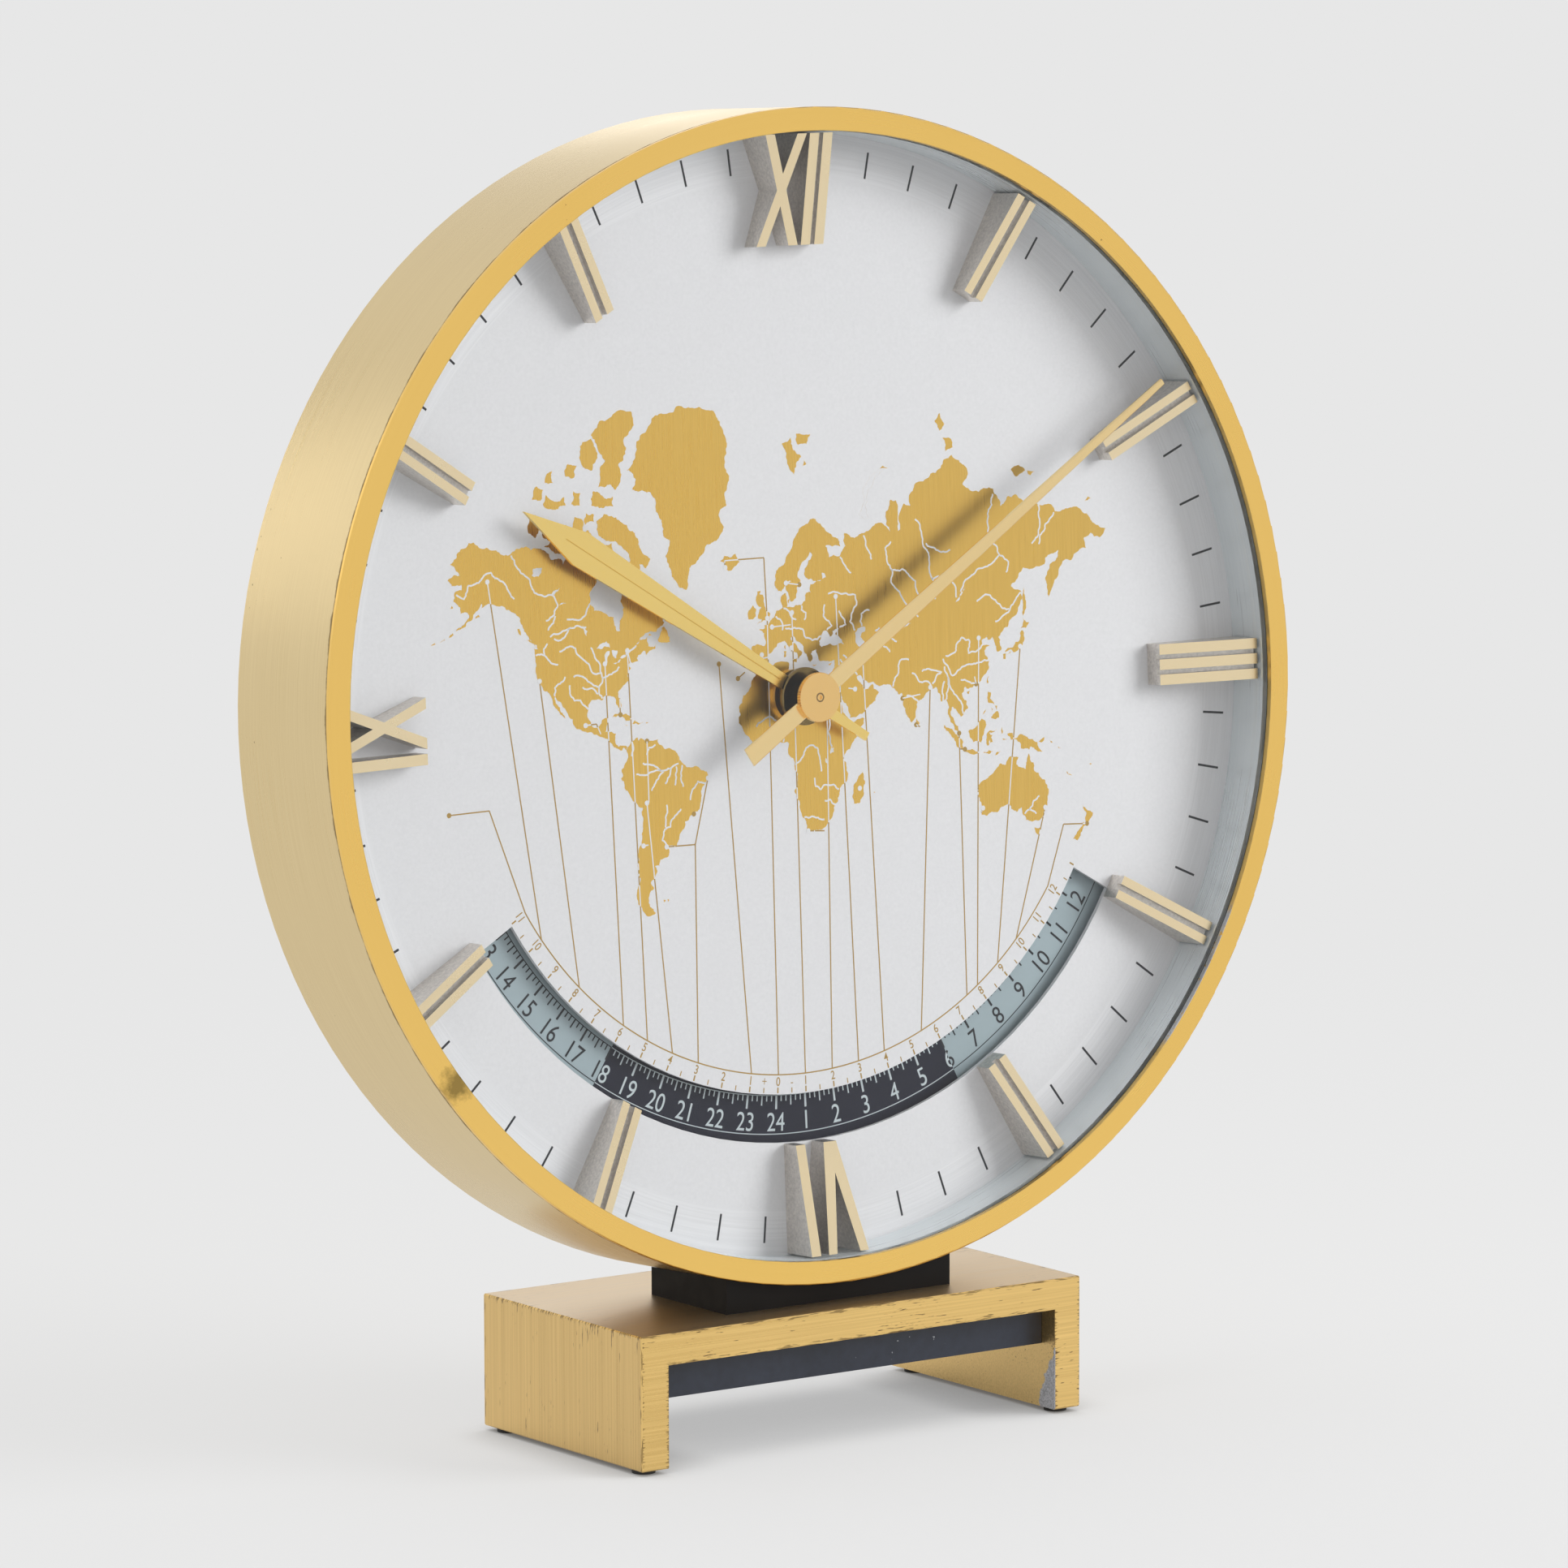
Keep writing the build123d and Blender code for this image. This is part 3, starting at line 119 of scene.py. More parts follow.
LAND = {
    "north_america": (
        -168.1, 65.6, -164.5, 66.5, -161.8, 66.3, -163.6, 67.1, -166.5, 68.3, -163, 69.3, -161, 70.4,
        -156.6, 71.3, -152, 70.8, -145, 70, -141, 69.6, -136.5, 69, -134, 69.6, -129.5, 70.1, -127, 70.2,
        -124.5, 69.6, -121, 69.8, -115, 68.7, -114.5, 67.9, -109, 67.9, -108, 66.9, -106.5, 68.3, -101,
        67.9, -98, 67.8, -96.3, 67.4, -96, 68.3, -94, 68.8, -96.3, 69.8, -96, 71.2, -94.5, 71.9, -92, 71,
        -92.3, 69.6, -90, 68.6, -88.5, 68.5, -87.8, 67.3, -86, 67.2, -85.5, 69.5, -82, 69.8, -81.3, 68.6,
        -82, 66.6, -86, 66.3, -86.5, 65, -88, 64.3, -90.5, 63.8, -93, 62, -94.6, 60.5, -94.7, 58.7, -92.5,
        57, -88, 56.5, -85, 55.3, -82.3, 55.1, -82.1, 53, -80.8, 51.3, -79, 51.4, -79.2, 54, -77.2, 55.6,
        -76.6, 57.2, -78.4, 58.8, -77.6, 60, -78, 62.4, -74, 62.3, -71, 61.1, -69.7, 60, -69.5, 58.8, -67,
        58.3, -65.5, 59.5, -64.5, 60.3, -62, 58, -60.5, 55.7, -57.5, 54.5, -55.7, 52.5, -58.5, 51.3, -60,
        50.2, -66, 50.2, -68.5, 49, -70.8, 47, -68.5, 48.4, -64.5, 49.2, -65, 47.8, -64.5, 46.2, -61.5,
        45.8, -60, 46.9, -60.8, 45.3, -65.5, 43.5, -66, 44.6, -67, 45, -70, 43.8, -70.8, 42.8, -70, 41.7,
        -73.8, 40.8, -74.2, 39.5, -75.5, 38, -76, 36.9, -75.6, 35.3, -77.5, 34.2, -79.5, 33, -81.2, 31.7,
        -81.4, 30, -80.1, 27.5, -80.2, 25.3, -81.3, 25.4, -82.7, 27.7, -82.9, 29.2, -84.2, 30, -86, 30.4,
        -89, 30.3, -89.3, 29.1, -91.5, 29.4, -94.8, 29.4, -97.3, 27.5, -97.6, 25, -97.8, 22.5, -96.3, 19.3,
        -94.5, 18.2, -92, 18.6, -90.6, 19.8, -90.3, 21.1, -87, 21.5, -87.5, 19.5, -88.2, 17.8, -88.8, 15.9,
        -85.5, 15.9, -83.3, 15, -83.7, 12.5, -83.6, 10.8, -82, 9.2, -79.7, 9.5, -77.4, 8.7, -77.9, 7.3,
        -79.5, 8.7, -80.2, 7.4, -81.8, 8, -83, 8.5, -85.2, 9.9, -85.8, 11, -87.6, 12.9, -90, 13.7, -93, 15,
        -95.5, 16.1, -98.5, 16.4, -102, 18, -105.5, 20.2, -105.6, 22.4, -108.5, 25.2, -110.8, 27.8, -112.9,
        30, -114.7, 31.8, -114.4, 30.2, -112.3, 27.6, -110.2, 24.3, -109.6, 23, -112, 24.7, -114.5, 27.3,
        -115.9, 30, -117.2, 32.6, -118.5, 34, -120.6, 34.6, -122.4, 37.2, -123.8, 39.3, -124.3, 41, -124,
        44, -124.2, 46.5, -124.7, 48.4, -122.5, 48, -123.2, 49.3, -127, 51, -129.5, 53.3, -131, 55.2,
        -133.5, 57.7, -136.5, 58.6, -139.8, 59.6, -144, 60, -148, 60.4, -151.8, 59.3, -150.8, 61.2, -154,
        59, -158, 56.8, -162, 55.2, -164.8, 54.6, -161, 56, -157.6, 57.8, -158.4, 58.8, -162, 58.7, -162,
        60, -165.5, 61.5, -165, 63, -161, 63.6, -161, 64.6, -166, 64.5,
    ),
    "south_america": (
        -77.9, 7.3, -77.2, 8.6, -75.5, 10.7, -74, 11.3, -71.7, 12.4, -71.3, 10.8, -70, 12, -68, 10.6, -64,
        10.4, -62, 10.6, -60.5, 8.6, -57, 6.1, -53, 5.6, -51, 4, -50, 1, -48, -0.8, -44, -2.8, -40, -2.9,
        -37, -4.8, -35.3, -5.6, -34.9, -8.3, -37, -11, -39, -13.5, -39.1, -17.5, -41, -22, -44, -23, -48,
        -25.5, -48.7, -28.5, -52, -33, -54, -34.8, -58, -34.1, -56.9, -36.5, -58.5, -38.4, -62, -39, -62.5,
        -41, -65, -41, -63.7, -42.6, -65.3, -45, -67.5, -46.2, -65.8, -47.8, -68.5, -50, -69, -51.8, -68.2,
        -53, -65.3, -54.7, -69, -55.4, -72, -54, -74.5, -52, -75.2, -49.5, -74.2, -46.8, -72.7, -44.5,
        -73.8, -41.5, -73.4, -37.5, -71.7, -33, -71.4, -29, -70.4, -24, -70.2, -18.4, -76, -14, -79.5, -8,
        -81.3, -5, -80.3, -3, -80.9, -1, -79, 1.5, -77.3, 3.8, -77.5, 6.2,
    ),
    "greenland": (
        -73, 78.2, -68, 79.2, -64, 81, -58, 82, -50, 82.2, -44, 82.6, -35, 82.4, -26, 82.2, -22, 81.2, -19,
        80, -18, 77, -21, 75, -20, 73.8, -24.5, 72.6, -22, 71, -24, 69.8, -26, 68.9, -32, 68.2, -36, 66,
        -40, 65, -42, 62.5, -43.3, 60.1, -46.5, 60.7, -49.5, 62.5, -52, 65, -53.7, 67, -51, 69.5, -54.5,
        70.3, -55, 72.5, -58, 75, -65, 76.2, -70, 76.3, -68, 77.3,
    ),
    "ellesmere": (
        -79, 76.4, -82, 77, -88, 76.8, -87, 78, -84, 79.2, -88, 80.4, -91, 81.1, -86, 82, -77, 82.5, -69,
        82.4, -68, 81.6, -74, 80.6, -73, 79.6, -77, 78.8, -76, 77.6,
    ),
    "axel_heiberg": (-95, 78.7, -91, 78.4, -88, 79.4, -91, 80.9, -95.5, 80.7),
    "ringnes": (-105, 78, -100.5, 77.9, -99, 78.9, -103.5, 79.1),
    "king": (-116, 77.6, -111.5, 77.5, -112, 78.6, -114.5, 78.4),
    "patrick": (-123, 76, -118.5, 75.8, -117, 76.9, -120.5, 77.3),
    "devon": (-80.5, 75.7, -85, 75.6, -91, 76.4, -92, 74.9, -86, 74.5, -80.5, 74.6),
    "bathurst": (-102.5, 75.2, -98, 75, -97.5, 76.3, -101, 76.6),
    "melville": (-117, 75.2, -111, 74.7, -105.5, 75.1, -106, 76, -111, 75.6, -115.5, 76.4),
    "banks": (-125.3, 72, -122, 71.3, -119.5, 72.5, -121.5, 74.3, -124.6, 74),
    "victoria": (
        -117.5, 70, -114, 69.4, -109, 68.7, -103, 69, -101.8, 69.7, -105, 71.2, -105.5, 72.8, -109, 72.6,
        -112, 72.9, -118.3, 72.2, -118, 71.3, -114, 70.7,
    ),
    "wales": (-102, 72.1, -97, 71.7, -97.5, 73.4, -101, 73.7),
    "somerset": (-95.5, 72.6, -91, 72.9, -91, 73.9, -95, 74),
    "king_william": (-99, 68.9, -96, 68.7, -96, 69.6, -98.6, 69.8),
    "baffin": (
        -89.5, 73, -85.5, 73.8, -81.5, 73.5, -77, 72.7, -72, 71.3, -68, 70.1, -67, 68.6, -61.8, 66.8, -64.2,
        65.1, -67.8, 66, -65, 63.6, -66.3, 62, -71.5, 63.4, -77.5, 64.5, -74, 65.6, -73, 67.4, -77, 69.2,
        -80, 70, -84.5, 70.1, -88.8, 71,
    ),
    "southampton": (-87, 63.7, -81.5, 63.9, -84.5, 65.8),
    "newfoundland": (-59.3, 47.7, -55.5, 47, -52.8, 47, -53.8, 49, -55.8, 51.5, -57.6, 50),
    "anticosti": (-64.3, 49.6, -62, 49.2, -63.5, 49.9),
    "vancouver": (-128, 50.8, -123.6, 48.4, -125.3, 50.3),
    "haida": (-133, 54, -131.2, 52.2, -131.8, 54),
    "kodiak": (-154.5, 57.4, -152.2, 57.6, -153, 58.2),
    "nunivak": (-167.4, 60, -165.8, 60, -166.5, 60.6),
    "aleutian_a": (-168.5, 53.1, -166, 53.8, -166.5, 54.3),
    "aleutian_b": (-173.5, 52.1, -170.5, 52.5, -171, 52.9),
    "aleutian_c": (-177.8, 51.4, -175.5, 51.7, -176, 52.1),
    "iceland": (
        -24.3, 65.4, -22, 66.3, -19, 65.9, -16, 66.5, -13.7, 65, -18.7, 63.4, -22.5, 63.9, -21.7, 64.7,
    ),
    "britain": (
        -5.5, 50, 1.3, 51.1, 1.6, 52.8, 0.2, 53.3, -1.3, 54.8, -2, 57.6, -4, 57.8, -3.2, 58.6, -5, 58.5, -6,
        56.5, -4.8, 55, -3, 54.6, -4.5, 53.2, -5.2, 51.8, -3, 51.4,
    ),
    "ireland": (-10.2, 51.6, -6.3, 52.2, -6, 54.3, -7.5, 55.3, -10, 54),
    "spitsbergen": (11, 79.6, 16, 80, 17, 79, 21.3, 78.4, 17, 76.7, 14.2, 77.6, 13.2, 78.3),
    "nordaust": (19, 80.3, 26.5, 80.2, 24.5, 79.4, 20, 79.4),
    "edge": (21.6, 77.5, 24, 77.7, 23, 78.1),
    "severnaya_a": (95.5, 80.6, 98.5, 81.1, 101, 80.3, 98, 79.8),
    "severnaya_b": (99.5, 79.2, 104.5, 79, 105.3, 78.3, 101, 78),
    "novaya": (
        51.8, 71.4, 54, 70.7, 57.4, 70.7, 55.5, 72.5, 57, 74, 60.5, 75.5, 68.5, 76.7, 66, 77, 58.5, 76,
        54.5, 74,
    ),
    "siberian_a": (137.5, 75.6, 142, 76.1, 145.5, 75.4, 140, 74.8),
    "siberian_b": (146.5, 75.4, 151, 75.2, 148.5, 74.8),
    "wrangel": (179, 70.9, 182.5, 71.2, 181, 71.5),
    "africa": (
        -6, 35.8, -2, 35.1, 3, 36.9, 10, 37.3, 11, 36.8, 10.3, 34.2, 15.2, 32.3, 19.5, 30.4, 20.5, 32.6, 25,
        31.6, 29.5, 31, 32.3, 31.2, 32.5, 29.9, 34, 26.5, 35.6, 23.9, 37.3, 20.5, 39.5, 15.5, 43, 12, 44.5,
        10.5, 51.2, 11.9, 50.8, 9.5, 48, 5, 44, 1.2, 40.5, -2.6, 39, -5, 40.5, -10.5, 40.7, -15, 36.5,
        -18.5, 35.3, -23.5, 32.9, -26, 32.2, -28.8, 28, -33, 22, -34.2, 18.4, -34.2, 18, -31.8, 15.2, -27,
        14.4, -22.5, 11.8, -17, 13.6, -12, 12.2, -6, 9, -1, 9.6, 3.5, 8.5, 4.6, 5.5, 4.4, 3.5, 6.4, -2, 4.8,
        -7.6, 4.4, -11.5, 6.9, -13.3, 9, -15, 11, -17.4, 14.6, -16.2, 18, -17, 21, -14.5, 26, -10, 29.5,
        -9.7, 31.5, -6.8, 34,
    ),
    "madagascar": (49.3, -12, 50.4, -15.8, 47.2, -25, 44, -25, 43.3, -22, 44.5, -17),
    "eurasia": (
        -9.2, 38.6, -8.9, 37, -6.3, 36.9, -5.4, 36.1, -2.2, 36.8, -0.3, 38.6, 0.5, 40.6, 3.2, 42.2, 4.8,
        43.4, 8.8, 44.4, 10.3, 43, 12.5, 41.5, 15.6, 40, 16, 38, 18.4, 40.1, 16, 41.7, 13.5, 43.6, 12.4,
        45.2, 13.7, 45.6, 15.4, 44, 19.3, 42, 19.5, 40.2, 21.3, 38.2, 22.4, 36.5, 24, 37.8, 23, 39.3, 23.8,
        40.3, 26.2, 40.8, 26.3, 39.4, 27.2, 37.1, 30.5, 36.5, 34, 36.1, 36, 36.5, 35.6, 33.6, 34.3, 31.3,
        32.4, 31.2, 32.5, 29.9, 34.1, 27.9, 35, 28.2, 37.2, 25, 39.2, 21, 42.6, 16.5, 43.4, 12.7, 45, 12.8,
        49, 14, 52.2, 15.6, 55.5, 17.8, 57.8, 19, 59.8, 22.4, 57, 24, 56.3, 26.2, 54, 24.2, 51.6, 24.5, 51,
        26, 50.1, 26.6, 48, 29.7, 49.8, 30, 51.5, 27.9, 54.5, 26.6, 57, 27, 58.5, 25.6, 61.6, 25.1, 66.5,
        25, 68.5, 23.4, 70.5, 20.9, 72.6, 21.3, 72.9, 18.5, 74.3, 14.5, 76.3, 10, 77.5, 8.1, 79.8, 10.3,
        80.2, 13.5, 80.5, 15.8, 83.5, 17.8, 87, 20.8, 89, 21.8, 91.7, 22.5, 93.8, 19.5, 94.3, 16, 97, 17.2,
        98.5, 13, 98.5, 9, 100.3, 6, 101.3, 2.9, 103.5, 1.3, 103.4, 4.5, 101.5, 6.7, 99.5, 9.6, 99.8, 11.8,
        100.6, 13.5, 102.5, 12.2, 105, 8.7, 107, 10.5, 109.2, 12, 108.5, 15.5, 106, 18.8, 108, 21.6, 109.8,
        20.5, 113.5, 22.3, 117, 23.5, 119.5, 26, 121.8, 28.5, 121.9, 31, 120.6, 33, 119.4, 35, 122.5, 37,
        119, 37.3, 118, 39, 121.3, 40.8, 121.5, 39, 124.3, 40, 125.3, 37.8, 126.5, 34.5, 129.2, 35.4, 128.6,
        38.5, 127.6, 39.7, 130.7, 42.3, 133, 42.8, 138, 46.5, 140.5, 50, 141.3, 53.2, 137.5, 54, 135.5,
        54.8, 140, 57.6, 143, 59.3, 151, 59.2, 155, 59.6, 157, 61.6, 160.3, 61.8, 163.2, 62.5, 162.5, 60.9,
        159.5, 60, 156.5, 57.8, 155.7, 55, 156.7, 51, 158.5, 53, 160, 54.8, 162, 56.2, 163, 58.2, 165.5, 60,
        170.2, 60, 174, 61.8, 179, 62.4, 178, 64.6, 182, 65.4, 184, 64.6, 187, 64.4, 190.3, 66.1, 184.5, 67,
        180, 68.9, 176, 69.8, 170, 70, 162, 69.6, 159, 70.8, 152, 70.9, 140, 72.5, 131, 71, 129, 72.6, 127,
        73.5, 119, 73.2, 113, 73.8, 110, 74.3, 113, 75.8, 106, 77.2, 104.3, 77.6, 98, 76.3, 87, 75, 80.5,
        73.6, 80.5, 72, 77, 72.4, 75, 71.4, 74.5, 68.6, 73, 68.3, 73.5, 71, 72.4, 72.9, 69.5, 73, 67, 71.5,
        66.8, 69.5, 69, 68.3, 60.8, 69.8, 58, 68.9, 54, 68.4, 47, 67.8, 46, 68.3, 43.5, 68.6, 44, 66.4,
        40.5, 64.6, 37.2, 65, 34.8, 64.5, 33, 66.7, 41, 66.4, 40, 67.8, 33, 69.4, 28, 71.1, 22, 70.3, 18.5,
        69.5, 13, 66, 10, 63.8, 5.2, 62, 5, 59, 8, 58, 10.5, 59.4, 12, 57, 13, 55.4, 16, 56.3, 16.5, 58.6,
        18.8, 60, 17.3, 61.9, 21, 64.3, 24.3, 65.9, 25.4, 65, 21.5, 62.8, 21.5, 60.8, 25, 60.3, 30, 59.9,
        24, 59.2, 23.6, 58.4, 24.2, 57.3, 21.6, 57.3, 21, 55.4, 19, 54.4, 14.2, 53.9, 10.8, 54.1, 10.5,
        57.6, 8.2, 57, 8.6, 54, 5, 53.3, 3.5, 51.5, 1.6, 50.8, 0.2, 49.6, -1.8, 49.6, -1.6, 48.7, -4.7,
        48.4, -2, 47.2, -1.2, 44.8, -1.8, 43.4, -8, 43.7, -9.2, 42.9, -8.8, 41,
    ),
    "corsica": (8.6, 42.4, 9.5, 43, 9.3, 41.5),
    "sardinia": (8.3, 39, 8.3, 41, 9.7, 41, 9.6, 39.2),
    "sicily": (12.5, 38, 15.5, 38.2, 15.2, 36.8),
    "crete": (23.6, 35.6, 26.2, 35.3, 24.5, 34.9),
    "cyprus": (32.4, 34.9, 34.4, 35.6, 33.4, 34.6),
    "zealand_d": (11.2, 55.7, 12.5, 56, 12, 54.9),
    "sri_lanka": (79.8, 8, 80.3, 9.7, 81.8, 7.5, 80.6, 6),
    "hainan": (108.7, 19.2, 110.9, 20, 110, 18.3),
    "taiwan": (120.2, 23, 121.6, 25.2, 120.9, 22),
    "kyushu": (129.8, 33.2, 131.7, 33.6, 131.3, 31.3, 130.2, 31.3),
    "shikoku": (132.4, 33.2, 134.4, 34.3, 134, 33.3),
    "honshu": (
        141.4, 41.3, 142, 39.5, 140.8, 35.7, 138.8, 34.7, 136, 33.6, 135, 34.6, 131, 34, 132.8, 35.5, 135.8,
        35.6, 137, 37.3, 138.6, 37.4, 139.8, 38.8, 140, 40.7,
    ),
    "hokkaido": (140, 42, 141.7, 45.4, 145.3, 43.7, 143.2, 42, 141, 42.5),
    "sakhalin": (142, 46, 142.8, 47.4, 143.8, 49, 143.3, 52, 142.8, 54.3, 141.8, 52, 142, 49),
    "luzon": (120.2, 16, 120.8, 18.6, 122.2, 18.3, 121.6, 15.6, 124, 12.7, 122, 13.6, 120.7, 13.8),
    "samar": (124.3, 12.4, 125.6, 12.2, 125.2, 10.2),
    "negros": (122.1, 11.7, 123.3, 10.8, 122.6, 9.5),
    "palawan": (117.3, 8.5, 119.4, 11.2, 119, 10),
    "mindanao": (122, 7, 123.5, 8.6, 126.2, 9.5, 126.4, 6.6, 124.5, 6.1),
    "borneo": (
        109, 1.7, 111.5, 2.4, 113.5, 3.6, 116.8, 7, 119, 5.2, 117.8, 1, 116, -3.9, 111.5, -3.3, 110, -1.3,
    ),
    "sumatra": (95.3, 5.6, 98.2, 4.1, 101, 2, 103.7, -0.8, 106, -3, 105.7, -5.8, 102, -4, 98.7, 1.3),
    "java": (105.3, -6.6, 108.5, -6.6, 110.8, -6.4, 114.4, -7.7, 114, -8.6, 108.5, -7.8),
    "sulawesi": (
        119.4, -5.5, 118.9, -2.8, 120, 0.6, 121, 1.2, 125, 1.6, 123.5, 0.4, 120.6, 0.3, 121.5, -0.9, 123.2,
        -0.8, 121.7, -1.9, 122.8, -4.3, 121.2, -4.4, 120.8, -2.9, 120.3, -5.5,
    ),
    "halmahera": (127.5, 1, 128, 2.2, 128.5, 0.5, 128, -0.8),
    "seram": (128, -3, 130.8, -3.2, 128.5, -3.5),
    "flores": (117, -8.4, 122.8, -8.3, 119, -8.9),
    "timor": (123.6, -10.2, 127, -8.4, 125.5, -9.5),
    "new_guinea": (
        131, -0.9, 134, -0.9, 135, -3.3, 138, -1.7, 141, -2.6, 145, -4.3, 147.8, -6, 148.5, -8.5, 150.7,
        -10.4, 147, -9.5, 144, -7.7, 143, -9.1, 138.5, -8.3, 138, -5.5, 133, -4, 132.5, -2.6,
    ),
    "new_britain": (148.5, -5.7, 152, -4.2, 151, -6),
    "solomon_a": (155, -6, 156.5, -7, 155.5, -6.8),
    "solomon_b": (159, -8.5, 161, -9.8, 159.8, -9.6),
    "caledonia": (164, -20.2, 167, -22.2, 165.5, -21.8),
    "australia": (
        113.7, -22.5, 113.5, -25, 114.3, -28, 115.7, -31.6, 115, -34.3, 118, -35, 123.5, -34, 126, -32.3,
        131, -31.5, 135.2, -34.6, 137.8, -33, 138.2, -35.6, 140.2, -38, 143.5, -38.8, 147, -38.6, 150,
        -37.3, 152.5, -32.5, 153.5, -28, 152.8, -25.3, 149.5, -22, 146, -19, 145.3, -15, 143.6, -14, 142.5,
        -10.8, 141.6, -14, 140.8, -17.5, 138, -16.5, 135.5, -15, 136.8, -12.2, 132.5, -11.3, 130, -13.5,
        129, -15, 126.5, -14, 122.3, -18, 119, -20,
    ),
    "tasmania": (144.8, -40.8, 148.3, -41, 147, -43.5, 145.7, -42.9),
    "north_island": (
        172.8, -34.5, 175.3, -36.7, 178.4, -37.7, 177, -39.6, 175.2, -41.5, 173.8, -39.4, 174.7, -37.8,
    ),
    "south_island": (172.7, -40.6, 174.2, -41.6, 171, -44.4, 169, -46.6, 166.5, -45.9, 170.5, -43),
    "cuba": (-84.8, 21.9, -82, 23.1, -79, 22.6, -74.3, 20.2, -77.6, 19.9, -78.3, 20.9, -82, 22.4),
    "hispaniola": (-74.3, 18.4, -73, 19.9, -68.5, 18.7, -71.3, 17.8),
    "jamaica": (-78.3, 18.4, -76.3, 18.1, -77.2, 17.8),
    "puerto_rico": (-67.2, 18.5, -65.7, 18.3, -66.8, 18),
    "trinidad": (-61.8, 10.8, -60.9, 10.7, -61.5, 10.1),
    "falkland_a": (-61, -51.4, -59.8, -51.6, -60.6, -52.1),
    "falkland_b": (-59, -51.4, -57.9, -51.6, -58.7, -52.2),
    "samoa": (-172.8, -13.4, -171.4, -13.9, -172.6, -14.1),
    "fiji": (177.2, -17.8, 178.6, -18, 177.8, -18.4),
    "reunion": (55.2, -20.9, 56, -21.2, 55.4, -21.5),
}

WATER = {
    "black_sea": (
        28, 42, 29, 41.3, 32.5, 41.9, 36, 41.5, 41.3, 41.6, 39, 44, 36.8, 45.1, 38.8, 47, 35.2, 46.2, 35.3,
        45.2, 33.6, 44.5, 32.8, 45.9, 31, 46.6, 29, 44.9,
    ),
    "caspian": (
        47.6, 45, 49.2, 46.5, 53, 46.8, 53, 45.2, 51, 44.5, 50.5, 43.6, 52.6, 42, 53.8, 39, 53.9, 37, 50.5,
        37.4, 49, 38.7, 49.6, 40.4, 47.7, 42.8,
    ),
    "aral": (58.4, 45.2, 60.8, 46.4, 60.2, 44.2),
    "balkhash": (74, 45.6, 78.8, 46.6, 75, 46.6),
    "baikal": (103.8, 51.6, 106, 52.2, 109.8, 55.6, 106.5, 53.3),
    "ladoga": (30.6, 60.2, 32.6, 60.5, 30.6, 61.6),
    "superior": (-92, 46.8, -89, 48.2, -86.5, 48.7, -84.8, 46.7, -88, 47.2),
    "michigan": (-87.7, 42, -86.3, 42.2, -86.2, 44, -85, 45.7, -87.2, 45.2),
    "huron": (-84, 45.9, -80.8, 45.6, -81.6, 43.3, -83.3, 44),
    "erie": (-83.3, 41.6, -79.1, 42.8, -82, 41.4),
    "ontario": (-79.7, 43.4, -76.4, 44.1, -76.8, 43.4),
    "winnipeg": (-97, 50.6, -96.4, 52, -98.8, 53.8),
    "athabasca": (-111, 58.7, -107, 59.3, -109, 59.4),
    "slave": (-116.5, 61.1, -113, 61.3, -109.3, 62.6, -113.5, 62.1),
    "bear": (-124.5, 65.3, -121, 65.1, -119, 66.6, -123.5, 66.6),
    "victoria_lake": (32, -2.6, 33.8, -2, 34, 0, 32.3, 0.4),
    "tanganyika": (29.2, -4, 30.9, -8.3, 29.6, -6.5),
}

